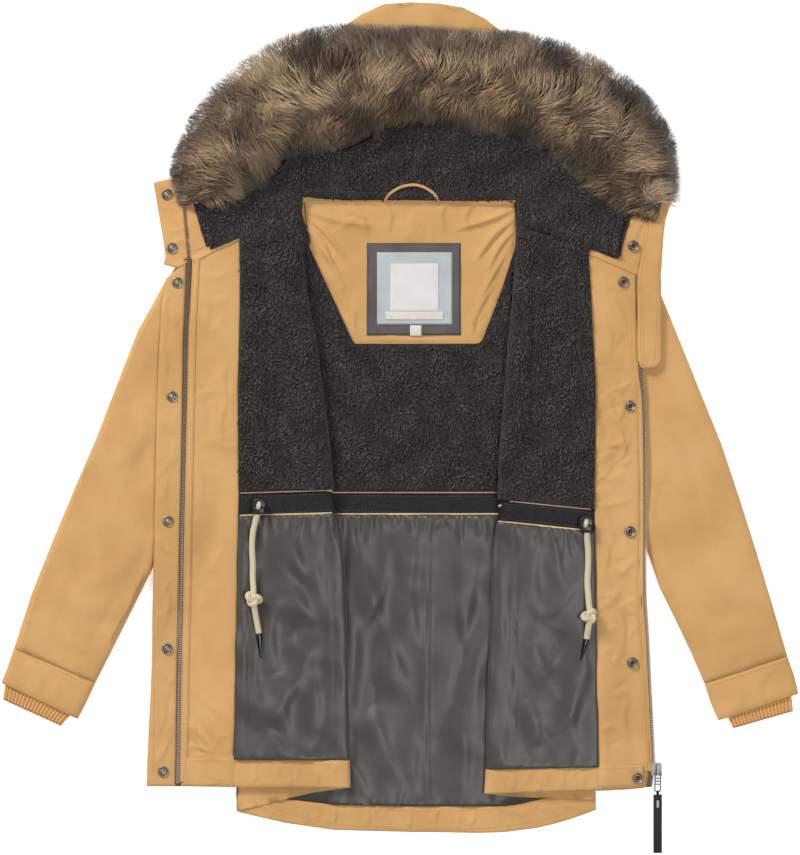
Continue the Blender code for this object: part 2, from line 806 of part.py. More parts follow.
def slab(name, x_range, y_range, z_range, finish):
    """A thin plate with square sides."""
    bpy.ops.mesh.primitive_cube_add(size=1)
    piece = bpy.context.object
    sizes = [high - low for low, high in (x_range, y_range, z_range)]
    middle = [(high + low) / 2 for low, high in (x_range, y_range, z_range)]
    move = Matrix.Translation(Vector(middle) * MM) @ Matrix.Diagonal([size * MM for size in sizes] + [1])
    piece.data.transform(move)
    for collection in list(piece.users_collection):
        collection.objects.unlink(piece)
    COAT.objects.link(piece)
    piece.name = piece.data.name = name
    piece.data.materials.append(finish)
    return piece


def build_label():
    on_yoke = SHELL + GAP + YOKE + GAP
    slab("label_frame", (-43, 79), (120, 240), (on_yoke, on_yoke + 1.2), LABEL)
    on_frame = on_yoke + 1.2 + GAP
    slab("label_panel", (-30, 68), (134, 228), (on_frame, on_frame + 0.8), PALE_LABEL)
    slab("size_tag", (13, 28), (119, 133), (on_frame, on_frame + 0.8), PALE_LABEL)


def tube(name, places, radii, finish, sides=3, closed=False):
    """A round cord or wire along a line of points, with filled ends."""
    data = bpy.data.curves.new(name, "CURVE")
    data.dimensions = "3D"
    data.bevel_depth = MM
    data.bevel_resolution = sides
    data.use_fill_caps = not closed
    spline = data.splines.new("POLY")
    spline.points.add(len(places) - 1)
    for point, place, radius in zip(spline.points, places, radii):
        point.co = (*(Vector(place) * MM), 1)
        point.radius = radius
    spline.use_cyclic_u = closed
    return add(name, data, finish)


def build_loop():
    """Rolled strap for a hook, from the yoke out over the hood's fleece and back."""
    strap = 2.3
    low = SHELL + GAP + YOKE + GAP + strap
    high = SHELL + GAP + FLEECE + 2 * GAP + strap + 0.2
    places = [
        (-17, 284, low), (-17, 289, low), (-17, 294, high), (-16, 301, high), (-11, 308, high),
        (-1, 313, high), (14, 315, high), (29, 313, high), (41, 308, high), (47, 301, high),
        (48, 294, high), (48, 289, low), (48, 284, low),
    ]
    tube("hanger_loop", places, [strap] * len(places), CAMEL, sides=2)


# ---- snaps

STUD = [(0, 2.0), (2.6, 2.4), (4.4, 1.4), (5.6, 2.0), (SNAP_R, 0.9), (SNAP_R, 0), (0, 0)]
SOCKET = [(0, 0.7), (2.2, 0.7), (2.7, 2.4), (5.2, 2.2), (SNAP_R, 0.9), (SNAP_R, 0), (0, 0)]


def snap(name, profile, place, lean):
    """A press fastener turned about its own axis and set square on the cloth."""
    mesh = bpy.data.meshes.new(name)
    points = [(out * MM, 0, up * MM) for out, up in profile]
    mesh.from_pydata(points, [(number, number + 1) for number in range(len(points) - 1)], [])
    piece = add(name, mesh, SNAP_METAL)
    turned = piece.modifiers.new("turned", "SCREW")
    turned.steps = turned.render_steps = 12
    turned.use_merge_vertices = True
    turned.merge_threshold = 0.00001
    piece.location = Vector(place) * MM
    piece.rotation_euler = Vector((0, 0, 1)).rotation_difference(Vector(lean)).to_euler()
    return piece


def set_snap(name, profile, x, y, height, under):
    """Seat a snap on the cloth under it, leaning as the cloth does there."""
    reach = 0.8 * SNAP_R
    around = [height(x + dx, y + dy) for dx, dy in ((reach, 0), (-reach, 0), (0, reach), (0, -reach))]
    lean = Vector(((around[1] - around[0]) / (2 * reach), (around[3] - around[2]) / (2 * reach), 1))
    middle = max(height(x, y), sum(around) / 4)
    place = Vector((x, y, middle)) + lean.normalized() * (under + 2 * GAP)
    snap(name, profile, place, lean)


def build_snaps(fronts, collars):
    lying = {"left": FLAP, "right": FACING}
    for name, places in SNAPS.items():
        profile = STUD if name == "left" else SOCKET
        for number, (x, y) in enumerate(places):
            on_collar = number == 0
            height = (collars if on_collar else fronts)[name].height
            under = 0.0 if on_collar else GAP + lying[name]
            set_snap(f"{name}_snap_{number + 1}", profile, x, y, height, under)
    set_snap("left_snap_7", STUD, *LEFT_TOP_SNAP, collars["left"].height, 0.0)


# ---- drawcords

def build_cords(fronts):
    for name, parts in CORDS.items():
        front, line = fronts[name], parts["line"]
        over = GAP + LINING + GATHER_HIGH + GAP + CORD_R
        floor = max(front.height(x, y) for x, y in zip(line["x"], line["y"])) + over
        places = [(x, y, floor + rise) for x, y, rise in zip(line["x"], line["y"], line["rise"])]
        tube(f"{name}_cord", places, line["radius"], CORD, sides=2)
        build_stopper(name, front, parts["stopper"])
        build_aglet(name, places[-1], parts["tip"], floor)


def build_stopper(name, front, at):
    """Barrel stopper that grips the cord where it leaves the waist channel."""
    x, y = at
    half = STOPPER_LONG / 2
    seat = max(front.height(x, y + out) for out in (-half, 0, half)) + GAP + TAPE + GAP + 0.3
    bpy.ops.mesh.primitive_cylinder_add(vertices=12, radius=STOPPER_R * MM, depth=STOPPER_LONG * MM)
    piece = bpy.context.object
    piece.data.transform(Matrix.Rotation(math.radians(90), 4, "X"))
    piece.location = Vector((x, y, seat + STOPPER_R)) * MM
    for collection in list(piece.users_collection):
        collection.objects.unlink(piece)
    COAT.objects.link(piece)
    piece.name = piece.data.name = f"{name}_stopper"
    piece.data.materials.append(BLACK_PLASTIC)
    rounded = piece.modifiers.new("rounded", "BEVEL")
    rounded.width = 2.0 * MM
    rounded.segments = 2
    rounded.limit_method = "ANGLE"
    rounded.angle_limit = math.radians(50)


def build_aglet(name, start, tip, floor):
    """Turned metal tip on the cord's free end."""
    start = Vector(start)
    end = Vector((*tip, floor - 0.6))
    run = (end - start).normalized()
    begin = start + run * 1.0
    bpy.ops.mesh.primitive_cone_add(
        vertices=10, radius1=3.6 * MM, radius2=1.9 * MM, depth=(end - begin).length * MM)
    piece = bpy.context.object
    piece.location = (begin + end) / 2 * MM
    piece.rotation_euler = Vector((0, 0, 1)).rotation_difference(run).to_euler()
    for collection in list(piece.users_collection):
        collection.objects.unlink(piece)
    COAT.objects.link(piece)
    piece.name = piece.data.name = f"{name}_aglet"
    piece.data.materials.append(DARK_METAL)


# ---- zip slider and its pull

def combine(piece, other, operation):
    """Join another solid to a piece, or cut it away."""
    for collection in list(other.users_collection):
        collection.objects.unlink(other)
    CUTTERS.objects.link(other)
    other.hide_render = True
    other.display_type = "WIRE"
    step = piece.modifiers.new(operation.lower(), "BOOLEAN")
    step.operation = operation
    step.object = other


def build_slider():
    """Slider that wraps the zip's edge, with an arch for the pull."""
    top = 7.6
    plate = SHELL + GAP + ZIP_TAPE + GAP
    body = slab("zip_slider", (333.6, 340.5), (-453, -437), (0.6, top), SILVER)
    combine(body, slab("slider_plate", (327, 335), (-453, -437), (plate, top), SILVER), "UNION")
    arch = slab("slider_arch", (333.9, 337.1), (-452.5, -439), (top - 1, 12.9), SILVER)
    combine(body, arch, "UNION")
    combine(body, slab("slider_eye", (330, 341.5), (-451, -441.5), (top, 11.5), SILVER), "DIFFERENCE")


def build_pull():
    """Wire link through the slider's arch, and the webbing that hangs from it."""
    half = LINK_WIDE / 2 - WIRE_R
    corner = 1.5
    start, end = Vector(PIVOT), Vector(LINK_END)
    down = (end - start).normalized()
    long = (end - start).length
    outline = []
    for sideways, along in (
        (-1, 0), (-1, corner), (-1, long / 2), (-1, long - corner), (-1, long),
        (1, long), (1, long - corner), (1, long / 2), (1, corner), (1, 0),
    ):
        narrow = half - corner if along in (0, long) else half
        outline.append(start + down * along + Vector((sideways * narrow, 0, 0)))
    tube("zip_pull", outline, [WIRE_R] * len(outline), SILVER, sides=2, closed=True)

    neck_low, neck_high = LINK_END[2] - 2.5, LINK_END[2] + 2.5
    thick = (0.8, 3.2)
    tape = slab("zip_pull_tape", (SLIDER_X - PULL_WIDE / 2, SLIDER_X + PULL_WIDE / 2),
                (PULL_END, LINK_END[1] - 3.5), thick, BLACK_PLASTIC)
    neck = slab("pull_neck", (SLIDER_X - 1.8, SLIDER_X + 1.8), (LINK_END[1] - 5, LINK_END[1] + 2.5),
                (neck_low, neck_high), BLACK_PLASTIC)
    combine(tape, neck, "UNION")
    bpy.ops.mesh.primitive_cylinder_add(vertices=10, radius=1.35 * MM, depth=14 * MM,
                                        location=Vector(LINK_END) * MM, rotation=(0, math.pi / 2, 0))
    combine(tape, bpy.context.object, "DIFFERENCE")
    slot = slab("pull_slot", (SLIDER_X - 1.5, SLIDER_X + 1.5), (PULL_END + 8, PULL_END + 20),
                (-1, 5), BLACK_PLASTIC)
    combine(tape, slot, "DIFFERENCE")


# ---- the coat

build_back()
FRONTS = {
    "left": build_front("left", -1, LEFT, LEFT_ROWS, LEFT_WAIST, LEFT_NECK, LEFT_UNDER_HEM),
    "right": build_front("right", 1, RIGHT, RIGHT_ROWS, RIGHT_WAIST, RIGHT_NECK, RIGHT_UNDER_HEM),
}
build_chin_guard()
for sleeve_name, sleeve_sides in SLEEVES.items():
    build_sleeve(sleeve_name, sleeve_sides)
build_hood()
COLLAR_PANELS = {name: build_collar(name, corners) for name, corners in COLLARS.items()}
build_label()
build_loop()
build_snaps(FRONTS, COLLAR_PANELS)
build_cords(FRONTS)
build_slider()
build_pull()
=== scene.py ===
"""Looks of the fur trimmed parka: it lies open on its back, each front folded out over its sleeve.

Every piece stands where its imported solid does, in metres, and the sizes below are in millimetres.
"""

import json
import math

import bmesh
import bpy
import numpy as np
from mathutils import Euler, Matrix, Vector
from mathutils.bvhtree import BVHTree

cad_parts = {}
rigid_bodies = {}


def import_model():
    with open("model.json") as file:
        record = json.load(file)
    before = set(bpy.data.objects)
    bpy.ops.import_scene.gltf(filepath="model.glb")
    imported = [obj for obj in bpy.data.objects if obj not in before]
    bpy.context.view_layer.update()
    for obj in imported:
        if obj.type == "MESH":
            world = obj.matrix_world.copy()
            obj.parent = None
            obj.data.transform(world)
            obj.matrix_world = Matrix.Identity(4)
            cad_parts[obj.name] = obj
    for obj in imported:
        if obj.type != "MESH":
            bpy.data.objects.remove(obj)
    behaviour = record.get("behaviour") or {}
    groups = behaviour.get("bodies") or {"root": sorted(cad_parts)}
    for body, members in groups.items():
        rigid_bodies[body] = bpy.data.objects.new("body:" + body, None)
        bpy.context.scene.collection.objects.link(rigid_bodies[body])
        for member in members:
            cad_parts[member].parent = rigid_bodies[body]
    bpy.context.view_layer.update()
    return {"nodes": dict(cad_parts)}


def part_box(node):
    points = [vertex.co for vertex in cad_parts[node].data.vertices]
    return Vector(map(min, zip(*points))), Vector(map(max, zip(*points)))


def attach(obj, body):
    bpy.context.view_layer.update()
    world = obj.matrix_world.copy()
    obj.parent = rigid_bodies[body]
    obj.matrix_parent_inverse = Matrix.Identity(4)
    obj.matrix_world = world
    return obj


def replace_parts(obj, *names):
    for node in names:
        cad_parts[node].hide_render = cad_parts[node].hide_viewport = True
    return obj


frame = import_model()
MM = 0.001

# Camera: straight above, with a long lens, so that the coat is drawn flat. 1040 mm of floor fill the
# 800 px width, and 1111.5 mm fill the height.
CAMERA_HIGH = 6.0
COAT_LEVEL = 0.012
VIEW_HIGH = 1.1115
eye = bpy.data.cameras.new("camera")
eye.lens = 36.0 * (CAMERA_HIGH - COAT_LEVEL) / VIEW_HIGH
eye.sensor_width = 36.0
eye.clip_end = 30.0


def placed(name, data):
    """A new object of the scene that holds this mesh, lamp or camera."""
    holder = bpy.data.objects.new(name, data)
    bpy.context.scene.collection.objects.link(holder)
    return holder


camera = placed("camera", eye)
camera.location = (0.0, 0.0, CAMERA_HIGH)
bpy.context.scene.camera = camera


# Display: plain sRGB, so that the cloth's colours come out as they are given below.
bpy.context.scene.view_settings.view_transform = "Standard"


# Studio: a white floor under a soft light from the upper left, a wide one overhead and an even pale
# surround, as over a flat-lay table.
def linear(code):
    """sRGB hex value as the linear colour that a shader takes."""
    parts = [int(code[at:at + 2], 16) / 255 for at in (1, 3, 5)]
    return (*[c / 12.92 if c <= 0.04045 else ((c + 0.055) / 1.055) ** 2.4 for c in parts], 1.0)


def feed(node, feeds):
    """Gives a node's sockets their values, or links them to what other nodes put out."""
    for name, value in feeds.items():
        if isinstance(value, bpy.types.Node):
            value = value.outputs[0]
        if isinstance(value, bpy.types.NodeSocket):
            node.id_data.links.new(value, node.inputs[name])
        else:
            node.inputs[name].default_value = value


def put(finish, kind, feeds=None, **settings):
    """Adds one node to a material, with its settings and what feeds its sockets."""
    made = finish.node_tree.nodes.new("ShaderNode" + kind)
    for name, value in settings.items():
        setattr(made, name, value)
    feed(made, feeds or {})
    return made


def new_finish(name):
    """An empty material and its Principled shader."""
    finish = bpy.data.materials.new(name)
    finish.use_nodes = True
    return finish, finish.node_tree.nodes["Principled BSDF"]


def area_light(name, place, size, watts, tint):
    """A square light, turned towards the middle of the coat."""
    lamp = bpy.data.lights.new(name, "AREA")
    lamp.shape = "SQUARE"
    lamp.size = size
    lamp.energy = watts
    lamp.color = linear(tint)[:3]
    holder = placed(name, lamp)
    holder.location = place
    holder.rotation_euler = Vector(place).to_track_quat("Z", "Y").to_euler()


area_light("soft_box", (-5.2, 6.3, 5.5), 2.3, 738.0, "#FFFCF7")
area_light("top_box", (2.3, -1.1, 6.4), 2.4, 210.0, "#FAFBFF")
surround = bpy.data.worlds.new("surround")
surround.use_nodes = True
feed(surround.node_tree.nodes["Background"], {"Color": linear("#FAFAFA"), "Strength": 0.33})
bpy.context.scene.world = surround

bpy.ops.mesh.primitive_plane_add(size=6.0, location=(0.0, 0.0, -0.0006))
floor = bpy.context.object
floor.name = floor.data.name = "floor"
paper, shader = new_finish("matt white studio paper")
feed(shader, {"Base Color": linear("#F7F7F6"), "Roughness": 0.9, "Specular IOR Level": 0.2})
feed(shader, {"Emission Color": linear("#FFFFFF"), "Emission Strength": 0.5})
floor.data.materials.append(paper)


# Drawcords: a round 8 mm cotton cord, braided in cream yarn, comes out of a black barrel stopper at
# each side of the waist and lies down the lining. An overhand knot and a metal tip end it.
def alone(piece):
    """Selects one object only, and makes it the active one."""
    for other in bpy.context.selected_objects:
        other.select_set(False)
    piece.select_set(True)
    bpy.context.view_layer.objects.active = piece


def even_points(points, gap):
    """Points at even steps along a smooth line through the given ones, which may be in plan only."""
    points = np.array(points, float)
    if points.shape[1] == 2:
        points = np.column_stack([points, np.zeros(len(points))])
    ends = np.vstack([2 * points[0] - points[1], points, 2 * points[-1] - points[-2]])
    share = np.linspace(0, 1, 12, endpoint=False)[:, None]
    runs = []
    for a, b, c, d in zip(ends, ends[1:], ends[2:], ends[3:]):
        runs.append(0.5 * (2 * b + (c - a) * share + (2 * a - 5 * b + 4 * c - d) * share ** 2
                           + (3 * b - a - 3 * c + d) * share ** 3))
    line = np.vstack(runs + [points[-1:]])
    far = np.append(0, np.cumsum(np.linalg.norm(np.diff(line, axis=0), axis=1)))
    at = np.linspace(0, far[-1], max(2, round(far[-1] / gap) + 1))
    return np.stack([np.interp(at, far, line[:, k]) for k in range(3)], 1)


def length_of(line):
    """Length of a line through its points."""
    return float(np.linalg.norm(np.diff(line, axis=0), axis=1).sum())


def from_work(name, work):
    """What was built up in the work mesh, as a piece of the scene."""
    mesh = bpy.data.meshes.new(name)
    work.to_mesh(mesh)
    work.free()
    return placed(name, mesh)


def finished(piece, finish):
    """Gives a piece its finish and lets it ride on the coat."""
    piece.data.materials.append(finish)
    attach(piece, "parka")
    return piece


def rod(name, points, radius, sides=12, gap=2.0):
    """A round tube along a smooth line, in millimetres, with U along it and V around it."""
    line = even_points(points, gap)
    radii = np.interp(np.linspace(0, 1, len(line)), np.linspace(0, 1, np.size(radius)), np.ravel(radius))
    ahead = np.gradient(line, axis=0)
    ahead /= np.linalg.norm(ahead, axis=1)[:, None]
    across = np.cross(ahead[0], (0.31, 0.2, 1.0))
    work = bmesh.new()
    uv = work.loops.layers.uv.new("along")
    rings = []
    for place, way, size in zip(line, ahead, radii):
        across = across - way * np.dot(across, way)
        across /= np.linalg.norm(across)
        other = np.cross(way, across)
        turn = np.arange(sides) * 2 * np.pi / sides
        ring = place + size * (np.outer(np.cos(turn), across) + np.outer(np.sin(turn), other))
        rings.append([work.verts.new(v * MM) for v in ring])
    far = np.append(0, np.cumsum(np.linalg.norm(np.diff(line, axis=0), axis=1))) * MM
    for row, (low, high) in enumerate(zip(rings, rings[1:])):
        for k in range(sides):
            face = work.faces.new((low[k], low[(k + 1) % sides], high[(k + 1) % sides], high[k]))
            for loop, (u, v) in zip(face.loops, ((0, 0), (0, 1), (1, 1), (1, 0))):
                loop[uv].uv = (far[row + u], (k + v) / sides)
    work.faces.new(rings[0][::-1])
    work.faces.new(rings[-1])
    for face in work.faces:
        face.smooth = len(face.verts) == 4
    return from_work(name, work)


# Braided cotton: matt, with the yarns' small slanting lumps. The real plait has about 1 mm between
# yarns, and it is drawn at 2 mm so that it shows.
braid, shader = new_finish("braided cream cotton")
along = put(braid, "TexCoord").outputs["UV"]
PLAIT_REPEAT = 6.2
in_mm = put(braid, "Mapping", {"Vector": along, "Scale": (1000.0, 1.0, 1.0)})
parts = put(braid, "SeparateXYZ", {"Vector": in_mm})
slants = []
for lean in (3.0, -3.0):
    round_it = put(braid, "Math", {0: parts.outputs["Y"], 1: lean}, operation="MULTIPLY")
    along_it = put(braid, "Math", {0: parts.outputs["X"], 1: 1 / PLAIT_REPEAT}, operation="MULTIPLY")
    both = put(braid, "Math", {0: round_it, 1: along_it}, operation="ADD")
    angle = put(braid, "Math", {0: both, 1: 2 * math.pi * 2}, operation="MULTIPLY")
    slants.append(put(braid, "Math", {0: angle}, operation="SINE"))
plait = put(braid, "Math", {0: slants[0], 1: slants[1]}, operation="MAXIMUM")
fuzz = put(braid, "TexNoise", {"Vector": put(braid, "TexCoord").outputs["Object"], "Scale": 900.0,
                               "Detail": 3.0})
# The yarns are painted darker in the plait's grooves and lighter where the plait and the fuzz rise. This is
# painted shade and light that follows the bump below.
tone = put(braid, "MixRGB", {"Fac": put(braid, "MapRange", {"Value": plait, "From Min": -0.4}),
                             "Color1": linear("#A8916A"), "Color2": linear("#E6D4AC")})
braid_painted_light_and_shade = put(braid, "MixRGB", {"Fac": fuzz, "Color1": tone, "Color2": linear("#F0E2C0")})
feed(shader, {"Base Color": braid_painted_light_and_shade})
lumps = put(braid, "Bump", {"Height": plait, "Distance": 0.0006, "Strength": 0.9})
fluff = put(braid, "Bump", {"Height": fuzz, "Distance": 0.0003, "Strength": 0.6, "Normal": lumps})
feed(shader, {"Normal": fluff, "Roughness": 0.9, "Sheen Weight": 0.3, "Specular IOR Level": 0.25})

CORD_ROUTES = {
    "left": [(-185, -112, 5.0), (-188, -124, 2.0), (-191, -138, 0.5), (-192, -156, 0.0),
             (-191, -176, 0.0), (-191, -195, 2.0), (-190, -208, 5.0), (-190, -215, 7.0),
             (-190, -223, 7.0), (-189, -231, 7.0), (-188, -238, 5.0), (-186, -250, 1.5),
             (-183, -267, 0.0)],
    "right": [(242, -136, 5.0), (243, -148, 2.0), (244, -162, 0.5), (244, -180, 0.0),
              (243, -200, 0.0), (244, -217, 2.0), (245, -230, 5.0), (246, -237, 7.0),
              (246, -245, 7.0), (245, -253, 7.0), (244, -260, 5.0), (243, -268, 1.5),
              (242, -274, 0.5)],
}
CORD_THICK = 8.0


def overhand_knot(name, middle, turn_by, stretch):
    """The knot alone: three crossing bights of the cord drawn up tight, longer one way."""
    turn = np.linspace(0, 2 * math.pi, 61)
    flat = np.stack([(np.sin(turn) + 2 * np.sin(2 * turn)) * 2.75 * stretch,
                     (np.cos(turn) - 2 * np.cos(2 * turn)) * 2.3, -np.sin(3 * turn) * 3.4], 1)
    way = math.radians(turn_by)
    spun = flat @ np.array([[math.cos(way), math.sin(way), 0], [-math.sin(way), math.cos(way), 0], [0, 0, 1]])
    return finished(rod(name, spun + np.array(middle), 3.9, sides=12, gap=1.4), braid)


def shaped(name, finish, size, middle, round_by, turn=(0, 0, 0), sides=0, segments=3):
    """A block, or a cylinder where it has sides, softened at its edges, with its place in its mesh."""
    if sides:
        bpy.ops.mesh.primitive_cylinder_add(vertices=sides, radius=0.5, depth=1.0)
    else:
        bpy.ops.mesh.primitive_cube_add(size=1.0)
    piece = bpy.context.object
    piece.name = piece.data.name = name
    spin = Euler([math.radians(a) for a in turn]).to_matrix().to_4x4()
    piece.data.transform(Matrix.Diagonal((*[s * MM for s in size], 1.0)))
    soft = piece.modifiers.new("softened edges", "BEVEL")
    soft.width = round_by * MM
    soft.segments = segments
    soft.limit_method = "ANGLE"
    soft.angle_limit = math.radians(40)
    alone(piece)
    bpy.ops.object.modifier_apply(modifier=soft.name)
    piece.data.transform(spin)
    piece.data.transform(Matrix.Translation(Vector(middle) * MM))
    alone(piece)
    bpy.ops.object.shade_smooth_by_angle(angle=math.radians(35))
    piece.data.materials.append(finish)
    return piece


def joined(name, *pieces):
    """Several meshes as one piece."""
    alone(pieces[0])
    for other in pieces[1:]:
        other.select_set(True)
    bpy.ops.object.join()
    pieces[0].name = pieces[0].data.name = name
    return pieces[0]


# Stopper: moulded black nylon with a faint orange-peel skin, satin where fingers press it.
nylon, shader = new_finish("moulded black nylon")
peel = put(nylon, "TexNoise", {"Vector": put(nylon, "TexCoord").outputs["Object"], "Scale": 1400.0})
worn = put(nylon, "TexNoise", {"Vector": put(nylon, "TexCoord").outputs["Object"], "Scale": 160.0,
                               "Detail": 4.0})
feed(shader, {"Roughness": put(nylon, "MapRange", {"Value": worn, "To Min": 0.26, "To Max": 0.46}),
              "Base Color": put(nylon, "MixRGB", {
                  "Fac": worn, "Color1": linear("#121215"), "Color2": linear("#242428")}),
              "Normal": put(nylon, "Bump", {"Height": peel, "Distance": 0.0001, "Strength": 0.4})})

# Tip: brass tube in a black nickel finish, rolled over the cord and crimped.
black_nickel, shader = new_finish("black nickel plated brass")
brushed = put(black_nickel, "TexNoise", {"Vector": put(black_nickel, "TexCoord").outputs["Object"],
                                         "Scale": 420.0, "Detail": 5.0})
feed(shader, {"Metallic": 1.0, "Base Color": put(black_nickel, "MixRGB", {
                  "Fac": brushed, "Color1": linear("#2A2A2E"), "Color2": linear("#4E4E54")}),
              "Roughness": put(black_nickel, "MapRange", {"Value": brushed, "To Min": 0.16, "To Max": 0.36})})

STOPPERS = {"left": (-183.0, -102.0), "right": (241.0, -125.0)}
BIGHTS = {"left": (5.4, 6.6), "right": (7.0, 8.8)}
TIPS = {"left": (-180.0, -299.0), "right": (235.0, -301.0)}
KNOTS = {"left": ((-190.0, -222.5), -22.0, 1.12), "right": ((245.5, -244.5), 28.0, 1.0)}


def stopper(side):
    """Barrel lock: a squat barrel with two rims, a domed button above it and the cord's bight in it."""
    x, y = STOPPERS[side]
    low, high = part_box(f"{side}_stopper")
    level = (low.z + high.z) / 2 / MM
    barrel = shaped("barrel", nylon, (15.5, 10.0, 13.6), (x, y - 5.0, level), round_by=2.6)
    rim = shaped("rim", nylon, (17.2, 17.2, 3.2), (x, y + 2.0, level + 3.6), round_by=1.2, sides=28)
    cap = shaped("cap", nylon, (15.6, 15.6, 11.0), (x, y + 2.0, level - 0.6), round_by=3.2, sides=28)
    lip = shaped("lip", nylon, (16.2, 2.0, 14.4), (x, y - 8.9, level), round_by=0.9)
    body = joined(f"{side}_stopper_lock", barrel, rim, cap, lip)
    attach(body, "parka")
    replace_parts(body, f"{side}_stopper")
    rise, crown = BIGHTS[side]
    bight = rod(f"{side}_cord_bight", [(x - 1.2, y - 3.6, level + rise), (x, y + 1.0, level + crown),
                                       (x + 0.8, y + 5.6, level + rise)],
                (2.2, 3.3, 2.2), gap=0.8)
    return body, finished(bight, braid)


for side, route in CORD_ROUTES.items():
    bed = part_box(f"{side}_cord")[0].z / MM + CORD_THICK / 2
    points = [(x, y, bed + rise) for x, y, rise in route]
    cord = rod(f"{side}_drawcord", points, CORD_THICK / 2, sides=14, gap=1.5)
    lock, bight = stopper(side)

    (kx, ky), lean, stretch = KNOTS[side]
    knot = overhand_knot(f"{side}_drawcord_knot", (kx, ky, bed + 7.0), lean, stretch)

    start, end = np.array(points[-1]), np.array([*TIPS[side], bed - 0.6])
    way = (end - start) / np.linalg.norm(end - start)
    begin = start + way * 0.6
    tip = rod(f"{side}_drawcord_tip", [begin + (end - begin) * s for s in (0, 0.08, 0.5, 0.93, 1.0)],
              (3.9, 3.7, 3.0, 2.2, 1.4), sides=16, gap=1.2)
    finished(tip, black_nickel)
    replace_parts(tip, f"{side}_aglet")

    far = length_of(even_points(points, 1.5)) * MM
    finished(cord, braid)
    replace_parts(cord, f"{side}_cord")


# Back shell: one panel of the camel outer cloth, a tight cotton and nylon twill with a peached
# surface. The coat lies on it, so it is creased under its own weight, and its hem is turned up once.
camel, shader = new_finish("peached cotton nylon twill in camel")


def dye(finish, shader, dark, main, light, size=9.0):
    """Uneven colour of dyed cloth: broad clouds between a darker and a lighter tone of the same dye."""
    place = put(finish, "TexCoord").outputs["Object"]
    cloud = put(finish, "TexNoise", {"Vector": place, "Scale": size, "Detail": 4.0, "Roughness": 0.6})
    fine = put(finish, "TexNoise", {"Vector": place, "Scale": size * 34, "Detail": 3.0})
    low = put(finish, "MixRGB", {"Color1": linear(dark), "Color2": linear(main),
                                 "Fac": put(finish, "MapRange", {
                                     "Value": cloud, "From Min": 0.3, "From Max": 0.55})})
    high = put(finish, "MixRGB", {"Color1": low, "Color2": linear(light), "Fac": put(
        finish, "MapRange", {"Value": cloud, "From Min": 0.5, "From Max": 0.75, "To Max": 0.5})})
    feed(shader, {"Base Color": put(finish, "MixRGB", {"Color1": high, "Color2": linear(dark), "Fac": put(
        finish, "MapRange", {"Value": fine, "From Min": 0.35, "From Max": 0.7, "To Max": 0.22})})})


def weave(finish, shader, pitch, deep, lean, soft=0.0007):
    """Threads of a woven cloth as bump: two sets of fine waves, one leaning, over a soft unevenness."""
    place = put(finish, "TexCoord").outputs["Object"]
    turned = put(finish, "Mapping", {"Vector": place, "Rotation": (0.0, 0.0, math.radians(lean))})
    warp = put(finish, "TexWave", {"Vector": turned, "Scale": 0.314 / pitch, "Distortion": 0.6,
                                   "Detail": 1.0, "Detail Scale": 2.0}, bands_direction="X")
    weft = put(finish, "TexWave", {"Vector": turned, "Scale": 0.28 / pitch, "Distortion": 0.8,
                                   "Detail": 1.0, "Detail Scale": 2.0}, bands_direction="Y")
    cross = put(finish, "Math", {0: warp.outputs["Fac"], 1: weft.outputs["Fac"]}, operation="MULTIPLY")
    uneven = put(finish, "TexNoise", {"Vector": place, "Scale": 55.0, "Detail": 5.0, "Roughness": 0.62})
    rough = put(finish, "Bump", {"Height": uneven, "Distance": soft, "Strength": 0.5})
    feed(shader, {"Normal": put(finish, "Bump", {
        "Height": cross, "Distance": deep, "Strength": 0.6, "Normal": rough})})


# The threads are 0.4 mm apart, and they are drawn at 0.9 mm so that they show.
dye(camel, shader, "#C1945B", "#CDA067", "#D8AE77")
weave(camel, shader, 0.0009, 0.00022, 45.0)
feed(shader, {"Roughness": 0.78, "Sheen Weight": 0.18, "Sheen Roughness": 0.4, "Specular IOR Level": 0.3})


def cloth(node, name, step, under=None, seen=None):
    """The node's own form as cloth: its faces cut down to the step in millimetres, its bends evened.
    Its lower face, and what lies outside the box that is seen, is cut less finely."""
    mesh = frame["nodes"][node].data.copy()
    work = bmesh.new()
    work.from_mesh(mesh)
    bmesh.ops.remove_doubles(work, verts=work.verts, dist=0.02 * MM)
    # Written out and read in again, so that the cutting starts from the merged mesh's own order.
    work.to_mesh(mesh)
    work.free()
    work = bmesh.new()
    work.from_mesh(mesh)
    bmesh.ops.join_triangles(work, faces=work.faces, angle_face_threshold=math.radians(30),
                             angle_shape_threshold=math.radians(70))

    def longest(edge):
        """How long this edge may stay."""
        if under is None:
            return step * MM
        x, y, _ = (edge.verts[0].co + edge.verts[1].co) / (2 * MM)
        outside = seen and not (seen[0] < x < seen[2] and seen[1] < y < seen[3])
        return MM * (under if outside or all(f.normal.z < -0.15 for f in edge.link_faces) else step)

    for _ in range(9):
        work.normal_update()
        wide = [e for e in work.edges if e.calc_length() > longest(e)]
        if not wide:
            break
        bmesh.ops.subdivide_edges(work, edges=wide, cuts=1, use_grid_fill=True)
    bmesh.ops.triangulate(work, faces=[f for f in work.faces if len(f.verts) > 4])
    work.verts.index_update()
    level = np.array([v.co.z for v in work.verts])
    ends = np.array([[v.index for v in e.verts] for e in work.edges])
    count = np.bincount(ends.ravel(), minlength=len(level))
    for _ in range(10):
        total = np.bincount(ends[:, 0], level[ends[:, 1]], len(level))
        total += np.bincount(ends[:, 1], level[ends[:, 0]], len(level))
        level += 0.45 * (total / count - level)
    for vert, z in zip(work.verts, level):
        vert.co.z = z
    for face in work.faces:
        face.smooth = True
    bpy.data.meshes.remove(mesh)
    return from_work(name, work)


